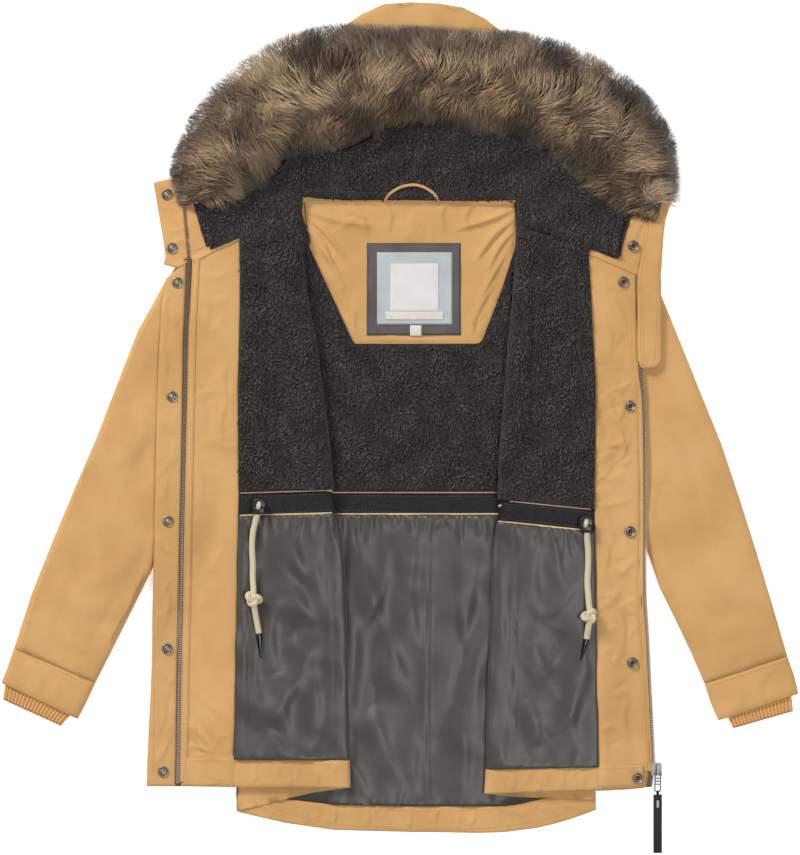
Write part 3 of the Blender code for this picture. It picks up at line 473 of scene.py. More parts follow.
def lifted(piece, height, side=1):
    """Moves the cloth's upper face up, or its lower face down, by a height for each place."""
    mesh = piece.data
    spots = np.zeros(len(mesh.vertices) * 3)
    mesh.vertices.foreach_get("co", spots)
    spots = spots.reshape(-1, 3)
    facing = np.zeros(len(mesh.vertices) * 3)
    mesh.vertices.foreach_get("normal", facing)
    share = np.clip(facing.reshape(-1, 3)[:, 2] * side * 2.0 - 0.3, 0, 1)
    x, y = spots[:, 0] / MM, spots[:, 1] / MM
    spots[:, 2] += side * share * height(x, y) * MM
    mesh.vertices.foreach_set("co", spots.ravel())
    mesh.update()


def smooth(share):
    """A share from 0 to 1 that starts and ends softly."""
    share = np.clip(share, 0.0, 1.0)
    return share * share * (3.0 - 2.0 * share)


CREASE_STEP = 5.0


def creases(x, y, *marks):
    """Height of the creases given: each has its width, its height and the line it runs along.
    It is steeper on the left of its line than on the right, and it fades to both ends."""
    total = np.zeros(len(x))
    for width, high, *line in marks:
        run = even_points(line, CREASE_STEP)[:, :2]
        low, top = run.min(0) - 4 * width, run.max(0) + 4 * width
        near = np.flatnonzero((x > low[0]) & (x < top[0]) & (y > low[1]) & (y < top[1]))
        if not len(near):
            continue
        way = np.gradient(run, axis=0)
        way /= np.linalg.norm(way, axis=1)[:, None]
        for some in np.array_split(near, len(near) // 20000 + 1):
            away = np.stack([x[some], y[some]], 1)[:, None] - run[None]
            far = (away ** 2).sum(2)
            best = far.argmin(1)
            off = away[np.arange(len(some)), best]
            side = way[best, 0] * off[:, 1] - way[best, 1] * off[:, 0]
            ahead = way[best, 0] * off[:, 0] + way[best, 1] * off[:, 1]
            between = (best > 0) & (best < len(run) - 1)
            gone = np.where(between, side ** 2, far.min(1))
            wide = np.where(side > 0, 0.45, 1.1) * width
            share = (best + np.where(between, ahead / CREASE_STEP, 0.0)) / (len(run) - 1)
            along = np.sin(np.pi * np.clip(share, 0.02, 0.98)) ** 0.7
            total[some] += 1.35 * high * along * np.exp(-gone / wide ** 2)
    return total


def drape(x, y, seed, pitch, high):
    """Soft swells of cloth that lies loose, about a pitch apart, in millimetres."""
    pick = np.random.default_rng(seed)
    total = np.zeros(len(x))
    for _ in range(9):
        way, phase = pick.uniform(0, np.pi), pick.uniform(0, 6.28)
        wave = pick.uniform(0.7, 1.5) * pitch
        bend = pick.uniform(0.4, 1.1) * np.sin((x * np.cos(way) + y * np.sin(way)) / wave * 1.9 + phase * 2)
        total += np.sin(2 * np.pi * (x * np.sin(way) - y * np.cos(way)) / wave + phase + bend)
    return (total / 6.0 + 0.5) * high


def scattered(seed, count, box, length, width, high, lean, spread=35.0):
    """Marks for many small creases in a box of places, leaning one way more or less."""
    pick = np.random.default_rng(seed)
    marks = []
    for _ in range(count):
        x, y = pick.uniform(box[0], box[2]), pick.uniform(box[1], box[3])
        way = math.radians(lean + pick.normal() * spread)
        run = length * pick.uniform(0.5, 1.4) / 2
        bow = run * pick.uniform(-0.35, 0.35)
        marks.append((width * pick.uniform(0.6, 1.4), high * pick.uniform(0.4, 1.2) * pick.choice([1, 1, -0.7]),
                      (x - run * math.cos(way), y - run * math.sin(way)),
                      (x - bow * math.sin(way), y + bow * math.cos(way)),
                      (x + run * math.cos(way), y + run * math.sin(way))))
    return marks


def laid(piece, node, finish):
    """Gives a cloth piece its finish, and hides the solid that it stands for."""
    finished(piece, finish)
    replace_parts(piece, node)


HEM_DROP = ((60, 0.0), (106, 1.0), (135, 3.8), (180, 3.6), (197, 7.2), (215, 10.3), (235, 12.4), (256, 13.8))


def hem_drop(x, y):
    """How far the hem's round corner hangs below its plain cut, in millimetres, with all its layers."""
    start = np.interp(x, (150, 180, 215, 256), (-460, -484, -479, -470))
    reach = np.interp(x, (150, 215, 256), (28, 20, 12))
    return np.interp(x, *zip(*HEM_DROP)) * smooth((start - y) / reach)


def dropped(piece):
    """Moves what lies at the hem's round corner down with it."""
    for vert in piece.data.vertices:
        vert.co.y -= float(hem_drop(vert.co.x / MM, vert.co.y / MM)) * MM
    return piece


back = dropped(cloth("back_shell", "back_shell_cloth", 18.0))
BACK_CREASES = [
    (9, 1.6, (-190, 180), (-90, 130), (30, 150)), (10, 1.8, (220, 190), (120, 120), (40, 60)),
    (12, 1.5, (-200, -60), (-60, -110), (120, -90), (240, -50)),
    (8, 1.3, (-150, -200), (-60, -330), (-70, -450)),
    (9, 1.4, (180, -180), (120, -300), (130, -430)), (7, 1.2, (20, -260), (40, -380), (20, -480)),
    (9, 1.3, (-180, 60), (-80, 20), (20, 40)), (8, 1.2, (210, 60), (90, 10), (-10, 0)),
]
# Seen from below, the cloth stands off the floor in shallow hollows between its creases.
lifted(back, lambda x, y: -(0.9 + creases(x, y, *BACK_CREASES) * 0.35 + drape(x, y, 4, 90, 0.45)), side=-1)
laid(back, "back_shell", camel)


# Sleeves: tubes of the outer cloth, padded inside, that lie flat with soft hollows under the arm.
# Each ends in a separate turned cuff, and a knitted rib is sewn inside the cuff.
SLEEVE_CREASES = {
    "left": [
        (15, 1.9, (-246, 40), (-282, -60), (-316, -160)), (20, 1.7, (-268, 90), (-330, 10), (-372, -110)),
        (12, -1.3, (-300, -60), (-330, -150), (-352, -232)),
        (16, 1.5, (-320, -140), (-372, -190), (-424, -216)),
        (13, 1.4, (-352, -235), (-402, -238), (-458, -214)),
        (10, 1.2, (-384, -300), (-430, -280), (-478, -246)),
        (18, 1.2, (-296, 170), (-318, 110), (-352, 40)), (9, -1.0, (-344, -190), (-390, -262), (-404, -318)),
        (11, 1.0, (-300, 20), (-356, -40), (-398, -60)), (8, 0.9, (-430, -190), (-452, -240), (-462, -290)),
    ],
    "right": [
        (16, 1.8, (286, -20), (316, -96), (356, -190)), (20, 1.6, (312, 60), (356, -30), (392, -150)),
        (11, -1.3, (322, -150), (352, -232), (386, -312)), (15, 1.5, (350, -120), (398, -190), (452, -226)),
        (13, 1.5, (362, -246), (414, -262), (478, -250)), (9, 1.2, (400, -316), (440, -288), (486, -276)),
        (18, 1.1, (316, 176), (336, 96), (372, 30)), (10, 1.1, (398, -92), (420, -160), (438, -204)),
        (8, 0.9, (392, -226), (424, -214), (446, -176)), (9, 1.0, (348, -40), (330, -90), (322, -150)),
    ],
}
CUFF_CREASES = {
    "left": [(8, 1.1, (-498, -300), (-468, -322), (-470, -352)),
             (7, 0.9, (-440, -322), (-448, -350), (-432, -370))],
    "right": [(8, 1.1, (498, -306), (470, -330), (468, -358)),
              (7, 0.9, (438, -326), (444, -352), (428, -376))],
}


def below_too(marks, seed, pitch):
    """Hollows of a face that lies on the floor: the cloth rises off it between the same creases."""
    return lambda x, y: -(0.5 + 0.3 * np.abs(creases(x, y, *marks)) + drape(x, y, seed, pitch, 0.5))


for side, seed in (("left", 11), ("right", 12)):
    marks = SLEEVE_CREASES[side]
    sleeve = cloth(f"{side}_sleeve", f"{side}_sleeve_cloth", 9.0, under=16.0)
    lifted(sleeve, lambda x, y: creases(x, y, *marks) + drape(x, y, seed, 120, 1.2))
    lifted(sleeve, below_too(marks, seed, 100), side=-1)
    laid(sleeve, f"{side}_sleeve", camel)

    cuff = cloth(f"{side}_cuff", f"{side}_cuff_cloth", 4.0)
    lifted(cuff, lambda x, y: creases(x, y, *CUFF_CREASES[side]) + drape(x, y, seed + 2, 50, 0.8))
    lifted(cuff, below_too(CUFF_CREASES[side], seed, 60), side=-1)
    laid(cuff, f"{side}_cuff", camel)


# Rib: a one by one knit of heavy cotton yarn in the coat's colour. Its ridges are 3.1 mm apart, and
# each shows its column of small slanting stitches.
RIB_PITCH = 3.1
STITCH_HIGH = 1.9
rib_knit, shader = new_finish("rib knitted cotton in camel")
place = put(rib_knit, "TexCoord").outputs["UV"]
parts = put(rib_knit, "SeparateXYZ", {"Vector": place})
column = put(rib_knit, "Math", {0: parts.outputs["X"], 1: 2 * math.pi / RIB_PITCH}, operation="MULTIPLY")
ridge = put(rib_knit, "Math", {0: column}, operation="COSINE")
lean = put(rib_knit, "Math", {0: ridge, 1: 0.9}, operation="MULTIPLY")
course = put(rib_knit, "Math", {0: put(rib_knit, "Math", {0: parts.outputs["Y"], 1: 2 * math.pi / STITCH_HIGH},
                                       operation="MULTIPLY"), 1: lean}, operation="ADD")
stitch = put(rib_knit, "Math", {0: course}, operation="SINE")
# The ridge tops are painted lighter and the grooves between the ridges darker: painted light and shade on the
# knit's relief.
shade = put(rib_knit, "MixRGB", {"Color1": linear("#B8834A"), "Color2": linear("#DDA96E"),
                                 "Fac": put(rib_knit, "MapRange", {"Value": ridge, "From Min": -1.0})})
fleck = put(rib_knit, "MixRGB", {"Color1": shade, "Color2": linear("#C79459"),
                                 "Fac": put(rib_knit, "MapRange", {"Value": stitch, "To Max": 0.4})})
feed(shader, {"Base Color": fleck})
deep = put(rib_knit, "Bump", {"Height": stitch, "Distance": 0.0003, "Strength": 0.7})
feed(shader, {"Normal": deep, "Roughness": 0.92, "Sheen Weight": 0.25, "Specular IOR Level": 0.2})

# The rib's two long edges, from its sewn end outwards: places on the outer one and the inner one.
RIBS = {
    "left": [((-506, -318), (-420, -352)), ((-513.5, -336), (-428, -373)), ((-516, -354), (-441, -388))],
    "right": [((505, -328), (420, -354)), ((509, -350), (427, -375)), ((511, -369), (434, -391))],
}


def rib_tube(side):
    """Flattened ribbed tube, cut like the solid: rows of rings along the sleeve, ridges round them."""
    low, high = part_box(f"{side}_rib")
    bottom, top = low.z / MM, high.z / MM
    sections = np.array(RIBS[side], float)
    rows, steps_of_ridge, wall, groove = 10, 8, 1.6, 0.55
    share = np.linspace(0, 1, rows)
    outer, inner = [np.stack([np.interp(share, (0, 0.5, 1), sections[:, edge, k]) for k in (0, 1)], 1)
                    for edge in (0, 1)]
    wide = np.linalg.norm(sections[1, 0] - sections[1, 1])
    thick = (top - bottom) / 2 - 0.5
    flat = wide - 2 * thick
    around = 2 * flat + 2 * math.pi * thick
    columns = 2 * round(around / RIB_PITCH / 2)
    steps = columns * 5
    work = bmesh.new()
    uv = work.loops.layers.uv.new("knit")
    rings = []
    for sunk in (0.0, wall):
        for a, b in zip(outer, inner):
            way = (b - a) / np.linalg.norm(b - a)
            middle = (a + b) / 2
            half = np.linalg.norm(b - a) / 2 - thick
            ring = []
            for k in range(steps):
                at = k / steps * around
                r = thick + (groove * math.cos(2 * math.pi * k / steps_of_ridge) - sunk)
                if at < flat:
                    along, up = -half + at / flat * 2 * half, r
                elif at < flat + math.pi * thick:
                    turn = (at - flat) / thick
                    along, up = half + r * math.sin(turn), r * math.cos(turn)
                elif at < 2 * flat + math.pi * thick:
                    along, up = half - (at - flat - math.pi * thick) / flat * 2 * half, -r
                else:
                    turn = (at - 2 * flat - math.pi * thick) / thick
                    along, up = -half - r * math.sin(turn), -r * math.cos(turn)
                x, y = middle + way * along
                ring.append(work.verts.new((x * MM, y * MM, ((bottom + top) / 2 + up) * MM)))
            rings.append(ring)
    order = rings[:rows] + rings[rows:][::-1]
    order.append(order[0])
    for row, (near, far) in enumerate(zip(order, order[1:])):
        for k in range(steps):
            after = (k + 1) % steps
            face = work.faces.new((near[k], near[after], far[after], far[k]))
            face.smooth = True
            for loop, (u, v) in zip(face.loops, ((0, 0), (1, 0), (1, 1), (0, 1))):
                loop[uv].uv = ((k + u) / steps_of_ridge * RIB_PITCH, (row + v) * 2.1)
    bmesh.ops.recalc_face_normals(work, faces=work.faces)
    return from_work(f"{side}_rib_knit", work)


for side in ("left", "right"):
    laid(rib_tube(side), f"{side}_rib", rib_knit)


# Fronts: the outer cloth of each front runs in from the side, turns back in a soft fold, and lies
# under its linings. Its free edges show round the hem, the opening and the neck.
def notched(piece):
    """Cuts the left front back at its upper outer corner, which leaves a notch below the collar."""
    for vert in piece.data.vertices:
        x, y = vert.co.x / MM, vert.co.y / MM
        if x < -280 and y > 165:
            plain, cut = 215 - 0.42 * (-288 - x), 206 - 0.9 * (-290 - x)
            share = float(smooth((-281 - x) / 8))
            vert.co.y = MM * (165 + (y - 165) * (1 + share * ((cut - 165) / (plain - 165) - 1)))


# The cloth is let in by 1.2 mm where the fleece and the lining lie on it.
for side, seed in (("left", 21), ("right", 22)):
    shell = cloth(f"{side}_front_shell", f"{side}_front_cloth", 12.0, under=20.0)
    lifted(shell, lambda x, y: drape(x, y, seed, 70, 0.5)
           - 1.2 * smooth(((x + 212) if side == "left" else (256 - x)) / 6))
    if side == "left":
        notched(shell)
    laid(shell, f"{side}_front_shell", camel)


# Front facings: strips of the outer cloth down the inside of each opening. The left one lies softly,
# the right one is crumpled, and both are pulled in by the stitching at their lower end.
FACING_CREASES = {
    "left": [
        (6, 1.5, (-222, 92), (-229, 62), (-226, 32), (-233, 2), (-230, -34)),
        (5, 1.0, (-215, 62), (-219, 24), (-216, -10)), (9, 1.1, (-268, 196), (-250, 158), (-255, 112)),
        (7, 1.2, (-262, 150), (-240, 126), (-221, 102)), (6, 1.0, (-264, 204), (-244, 196), (-224, 202)),
        (7, 1.0, (-260, 176), (-240, 164), (-220, 171)), (9, 1.0, (-268, -136), (-250, -190), (-253, -246)),
        (9, 0.9, (-262, -230), (-241, -296), (-226, -332)),
        (4, 1.9, (-281, -370), (-268, -389), (-262, -409), (-245, -425)),
        (3.5, 1.4, (-272, -358), (-253, -384), (-241, -401), (-239, -424)),
        (4, -1.1, (-277, -399), (-263, -419), (-250, -431)),
        (4, 2.6, (-276, -384), (-262, -396), (-248, -412), (-244, -428)),
        (3.5, 2.2, (-280, -412), (-262, -416), (-240, -422)),
        (4, 1.9, (-262, -362), (-246, -378), (-236, -398), (-232, -420)),
        (3.5, 1.7, (-226, -396), (-220, -412), (-222, -428)),
        (4, 1.6, (-270, -420), (-256, -426), (-236, -428)),
        (6, 1.1, (-270, -338), (-247, -360), (-228, -374)), (7, -0.8, (-256, 60), (-246, 20), (-250, -20)),
        (8, 0.9, (-240, -80), (-228, -120), (-232, -166)), (6, 0.8, (-266, -40), (-256, -74), (-262, -104)),
    ],
    "right": [
        (5, 1.7, (270, 44), (280, 12), (294, -2)), (5, 1.9, (281, 8), (292, -24), (286, -50)),
        (4.5, 1.6, (286, -52), (294, -44), (303, -40)), (5, 1.7, (254, -60), (276, -66), (291, -56)),
        (6, 1.4, (254, -12), (268, -30), (279, -50)), (5, 1.4, (254, -103), (282, -97), (303, -92)),
        (5, 1.8, (275, -178), (289, -187), (305, -168)), (5.5, 1.7, (259, -228), (274, -226), (284, -207)),
        (6, 1.3, (267, -114), (276, -139), (273, -158)), (5, 1.6, (263, -290), (276, -303), (288, -287)),
        (6, 1.2, (260, -394), (275, -388), (290, -393)), (5, 1.6, (268, 62), (284, 51), (303, 63)),
        (5, 1.7, (272, 47), (290, 31), (285, 8)), (5, 1.5, (260, -8), (277, -21), (299, -12)),
        (7, 1.2, (272, 176), (286, 150), (297, 118)), (6, 1.2, (262, 150), (274, 120), (270, 88)),
        (6, -1.3, (262, 30), (268, -4), (264, -34)), (5, 1.3, (258, -136), (270, -158), (268, -186)),
        (6, 1.1, (282, -230), (292, -262), (288, -296)), (5, 1.2, (262, -330), (280, -346), (300, -340)),
        (6, -1.0, (296, -120), (288, -150), (296, -176)), (5, 1.1, (300, -346), (292, -376), (298, -410)),
        (6, 1.0, (258, 196), (272, 186), (294, 190)), (5, 1.1, (256, -254), (268, -262), (284, -258)),
    ],
}
FACINGS = {
    "left": (31, (0.084, 0.695), (26, (-290, -430, -212, 200), 34, 4.5, 0.75, 60)),
    "right": (32, (0.084, 0.660), (34, (256, -430, 314, 200), 32, 4.5, 1.15, 20)),
}
for side, (seed, cut, small) in FACINGS.items():
    facing = cloth(f"{side}_facing", f"{side}_facing_cloth", 3.5, under=16.0)
    marks = FACING_CREASES[side] + scattered(seed, *small)
    lifted(facing, lambda x, y: creases(x, y, *marks) + drape(x, y, seed, 60, 0.8) + 0.4)
    laid(facing, f"{side}_facing", camel)


# Storm flap, chin guard, collar ends and hem facings: the same cloth, turned and topstitched. The
# snaps and the thread pull small puckers into it.
flap = cloth("left_storm_flap", "left_storm_flap_cloth", 3.6, under=16.0)
FLAP_CREASES = [
    (5, 1.1, (-310, 110), (-303, 80), (-308, 52)), (4, 1.2, (-314, 20), (-302, 4), (-292, -8)),
    (5, 1.1, (-298, -60), (-306, -90), (-300, -112)), (4, 1.3, (-316, -140), (-306, -156), (-292, -164)),
    (5, 1.0, (-306, -190), (-300, -226), (-308, -262)), (4, 1.3, (-318, -306), (-306, -322), (-294, -332)),
    (5, 1.2, (-318, -330), (-306, -366), (-312, -400)), (4, 1.3, (-296, -396), (-308, -424), (-320, -440)),
    (4, 1.1, (-300, 152), (-292, 138), (-288, 120)), (3.5, 1.0, (-298, 176), (-304, 160), (-301, 140)),
]
FLAP_CREASES += scattered(41, 24, (-322, -440, -290, 180), 26, 3.6, 0.8, 75)
lifted(flap, lambda x, y: creases(x, y, *FLAP_CREASES) + drape(x, y, 42, 40, 0.6))
notched(flap)
laid(flap, "left_storm_flap", camel)

guard = cloth("chin_guard", "chin_guard_cloth", 2.6)
lifted(guard, lambda x, y: creases(
    x, y, (4, 0.9, (314, 180), (318, 150), (315, 122)), (4, 0.8, (326, 170), (322, 132), (326, 100)),
    (3.5, 0.8, (312, 104), (320, 96), (330, 98))) + drape(x, y, 43, 40, 0.6))
laid(guard, "chin_guard", camel)

COLLAR_CREASES = {
    "left": [(5, 1.4, (-316, 296), (-300, 284), (-284, 262)), (4, 1.2, (-310, 262), (-296, 256), (-276, 262)),
             (5, 1.2, (-300, 236), (-284, 244), (-264, 240)),
             (4, 1.1, (-288, 300), (-282, 276), (-272, 256))],
    "right": [(5, 1.4, (340, 286), (326, 268), (316, 240)), (4, 1.2, (330, 246), (318, 236), (304, 240)),
              (5, 1.3, (318, 274), (308, 252), (300, 228)), (4, 1.2, (346, 296), (334, 274), (330, 250)),
              (4, 1.1, (324, 222), (312, 216), (300, 220))],
}
for side, seed in (("left", 51), ("right", 52)):
    collar = cloth(f"{side}_collar", f"{side}_collar_cloth", 2.8)
    lifted(collar, lambda x, y: creases(x, y, *COLLAR_CREASES[side]) + drape(x, y, seed, 36, 0.9))
    laid(collar, f"{side}_collar", camel)

HEM_CREASES = {
    "back": [(5, 1.6, (-186, -486), (-172, -494), (-162, -506)),
             (4, 1.5, (-172, -482), (-160, -492), (-150, -508)),
             (4, 1.2, (-128, -492), (-122, -504), (-118, -516)),
             (4, 1.3, (-86, -494), (-84, -506), (-88, -518)),
             (4, 1.2, (-44, -496), (-40, -508), (-44, -520)), (4, 1.4, (52, -494), (46, -508), (50, -524)),
             (4, 1.2, (94, -494), (98, -506), (90, -520)), (5, 1.5, (136, -490), (150, -500), (168, -502)),
             (5, 1.4, (176, -486), (190, -494), (206, -500)), (4, 1.2, (206, -482), (216, -490), (232, -494)),
             (4, 1.1, (10, -496), (14, -508), (10, -522)),
             (4, -0.9, (-106, -492), (-102, -506), (-106, -518))],
    "left": [(5, 1.0, (-190, -440), (-186, -452), (-192, -462)),
             (4, 1.0, (-150, -436), (-144, -450), (-140, -464)),
             (5, 0.9, (-112, -438), (-106, -452), (-110, -464)),
             (4, 0.8, (-82, -436), (-86, -450), (-80, -462))],
    "right": [(5, 1.1, (140, -446), (148, -460), (144, -472)),
              (4, 1.0, (178, -448), (184, -460), (180, -472)),
              (6, 1.2, (208, -446), (212, -460), (206, -474)),
              (4, 0.9, (236, -446), (240, -458), (236, -470))],
}
HEM_BOXES = {"back": (-200, -520, 250, -488), "left": (-212, -464, -70, -436), "right": (114, -472, 252, -446)}
HEMS = {"back": ((0.455, 0.034), 16, "back_shell_cloth"), "left": ((0.148, 0.034), 7, "left_front_cloth"),
        "right": ((0.144, 0.034), 7, "right_front_cloth")}
for part, (cut, small, bed) in HEMS.items():
    facing = cloth(f"{part}_hem_facing", f"{part}_hem_cloth", 2.6, under=12.0)
    if part == "back":
        dropped(facing)
    marks = HEM_CREASES[part] + scattered(61, small, HEM_BOXES[part], 22, 3.4, 0.8, 82, 22)
    lifted(facing, lambda x, y: creases(x, y, *marks) + drape(x, y, 62, 45, 0.5))
    laid(facing, f"{part}_hem_facing", camel)


# Fleece: a deep polyester sherpa in charcoal, its pile curled into small soft nubs. It lines the
# back, both fronts above the waist, and the hood. The folded fronts bend it softly.
sherpa, shader = new_finish("sherpa fleece in charcoal")
place = put(sherpa, "TexCoord").outputs["Object"]
bent = put(sherpa, "TexNoise", {"Vector": place, "Scale": 120.0, "Detail": 2.0})
shifted = put(sherpa, "MixRGB", {"Fac": 0.006, "Color1": place, "Color2": bent.outputs["Color"]},
              blend_type="ADD")
long = put(sherpa, "Mapping", {"Vector": shifted, "Scale": (1.0, 0.62, 1.0)})
curls = put(sherpa, "TexNoise", {"Vector": long, "Scale": 420.0, "Detail": 3.0, "Roughness": 0.65,
                                 "Distortion": 0.6})
clumps = put(sherpa, "TexVoronoi", {"Vector": long, "Scale": 190.0})
gaps = put(sherpa, "TexVoronoi", {"Vector": long, "Scale": 120.0, "Randomness": 1.0}, feature="DISTANCE_TO_EDGE")
broad = put(sherpa, "TexNoise", {"Vector": place, "Scale": 22.0, "Detail": 3.0})
# The colour follows the pile's relief. The raised curls and the nub tops are painted lighter, as painted light,
# and the crevices between the nubs are painted darker, as painted shade.
dark = put(sherpa, "MixRGB", {"Color1": linear("#1A1718"), "Color2": linear("#433E3E"), "Fac": put(
    sherpa, "MapRange", {"Value": curls, "From Min": 0.34, "From Max": 0.66})})
tone = put(sherpa, "MixRGB", {"Color1": dark, "Color2": linear("#625B5A"), "Fac": put(
    sherpa, "MapRange", {"Value": clumps, "From Min": 0.42, "From Max": 0.0, "To Max": 0.38})})
painted_crevice_shade = put(sherpa, "MixRGB", {"Color1": linear("#131112"), "Color2": tone, "Fac": put(
    sherpa, "MapRange", {"Value": gaps, "From Min": 0.0, "From Max": 0.16, "To Min": 0.62})})
cloudy = put(sherpa, "MixRGB", {"Color1": painted_crevice_shade, "Color2": linear("#1F1C1D"), "Fac": put(
    sherpa, "MapRange", {"Value": broad, "From Min": 0.42, "From Max": 0.7, "To Max": 0.4})})
feed(shader, {"Base Color": cloudy})
nub = put(sherpa, "Bump", {"Height": clumps, "Distance": 0.0018, "Strength": 0.8}, invert=True)
curl = put(sherpa, "Bump", {"Height": curls, "Distance": 0.0014, "Strength": 1.0, "Normal": nub})
feed(shader, {"Normal": curl, "Roughness": 0.95, "Sheen Weight": 0.12, "Sheen Roughness": 0.6})
feed(shader, {"Specular IOR Level": 0.15})


def nubs(x, y, seed, pitch, high):
    """Rounded lumps of curled pile about a pitch apart, each of its own height."""
    pick = np.random.default_rng(seed)
    low = np.floor(np.array([x.min(), y.min()]) / pitch) - 2
    size = (np.ceil(np.array([x.max(), y.max()]) / pitch) - low + 3).astype(int)
    jitter = pick.uniform(0.1, 0.9, (*size, 2))
    tall = pick.uniform(0.35, 1.0, size)
    cx, cy = np.floor(x / pitch) - low[0], np.floor(y / pitch) - low[1]
    best = np.zeros(len(x))
    for dx in (-1, 0, 1):
        for dy in (-1, 0, 1):
            i, j = (cx + dx).astype(int), (cy + dy).astype(int)
            px = (i + low[0] + jitter[i, j, 0]) * pitch
            py = (j + low[1] + jitter[i, j, 1]) * pitch
            near = 1 - ((x - px) ** 2 + (y - py) ** 2) / (0.85 * pitch) ** 2
            best = np.maximum(best, np.clip(near, 0, 1) * tall[i, j])
    return best * high


def pile(x, y, seed):
    """Large nubs with small ones on them, drawn out down the coat."""
    return nubs(x, y * 0.66, seed, 6.4, 1.7) + nubs(x, y * 0.8, seed + 1, 4.4, 0.5)


FLEECES = {
    "back_fleece": ((0.560, 0.320), 0.150, "back_shell_cloth", 71,
                    [(14, 2.2, (-58, -60), (-50, 0), (-40, 70)), (12, 1.6, (60, -70), (78, 0), (84, 90)),
                     (10, 1.4, (0, 20), (30, 60), (60, 60)), (12, -1.5, (-20, -60), (10, -20), (50, -40))]),
    "left_fleece": ((0.135, 0.350), 0.046, "left_front_cloth", 72,
                    [(14, 2.4, (-130, 200), (-122, 100), (-112, 20), (-104, -70)),
                     (5, -2.0, (-174, 240), (-172, 100), (-172, -80)),
                     (12, 1.6, (-190, 200), (-196, 120), (-190, 40)),
                     (10, 1.4, (-150, 120), (-140, 40), (-146, -40)),
                     (9, -1.4, (-130, 60), (-150, 20), (-166, 20))]),
    "right_fleece": ((0.135, 0.370), 0.049, "right_front_cloth", 73,
                     [(14, 2.2, (168, 200), (160, 100), (152, 20), (146, -80)),
                      (4.5, -2.2, (178, 240), (172, 100), (168, -90)),
                      (12, 1.6, (226, 200), (230, 120), (226, 30)),
                      (10, 1.4, (196, 120), (206, 40), (200, -50)),
                      (9, -1.3, (190, 20), (214, -10), (236, 0))]),
    "hood_fleece": ((0.56, 0.18), 0.055, "hood_cloth", 74,
                    [(14, 2.4, (-120, 300), (-146, 330), (-180, 320)),
                     (12, 2.0, (-200, 262), (-176, 290), (-150, 300)),
                     (14, 2.0, (-80, 316), (-20, 350), (40, 352)),
                     (12, -2.0, (-60, 340), (0, 372), (60, 372)),
                     (16, 2.2, (150, 300), (176, 330), (190, 348)),
                     (12, 2.0, (190, 262), (210, 290), (236, 300)),
                     (12, 1.8, (60, 320), (100, 350), (130, 356)),
                     (11, -2.0, (220, 256), (236, 280), (262, 280))]),
}
for node, (cut, area, bed, seed, marks) in FLEECES.items():
    piece = cloth(node, f"{node}_pile", 4.3, under=16.0,
                  seen=(-142, -80, 178, 266) if node == "back_fleece" else None)
    lifted(piece, lambda x, y: creases(x, y, *marks) + pile(x, y, seed) + drape(x, y, seed, 70, 1.4))
    laid(piece, node, sherpa)


# Lower linings: charcoal polyester taffeta, thin and smooth with a satin gleam. It is gathered into
# the waist channel and sewn to the hem facing a little full, so it hangs in soft diagonal folds.
taffeta, shader = new_finish("polyester taffeta in charcoal")
dye(taffeta, shader, "#3F3C39", "#44413E", "#4A4743", size=14.0)
weave(taffeta, shader, 0.0011, 0.0001, 0.0, soft=0.0004)
feed(shader, {"Roughness": 0.43, "Specular IOR Level": 0.46, "Anisotropic": 0.45, "Sheen Weight": 0.12})


def gathered(x, y, seed, left, right, edge, down, high, pitch):
    """Small pleats that run from a gathered edge and die out at their own lengths."""
    pick = np.random.default_rng(seed)
    total = np.zeros(len(x))
    at = left + pitch * 0.4
    while at < right:
        run = down * pick.uniform(0.25, 1.1)
        drift = pick.uniform(-0.28, 0.28)
        wide = pitch * pick.uniform(0.22, 0.42)
        away = (edge(x) - y) * (1 if down > 0 else -1)
        share = np.clip(away / abs(run), -0.2, 1)
        live = np.where((away > -3) & (share < 1), np.cos(share * np.pi / 2) ** 1.3, 0)
        live *= np.clip((away + 3) / 6, 0, 1)
        off = x - at - drift * away
        total += high * pick.uniform(0.5, 1.2) * live * np.exp(-(off / (wide * (1 + 0.6 * share))) ** 2)
        at += pitch * pick.uniform(0.65, 1.4)
    return total


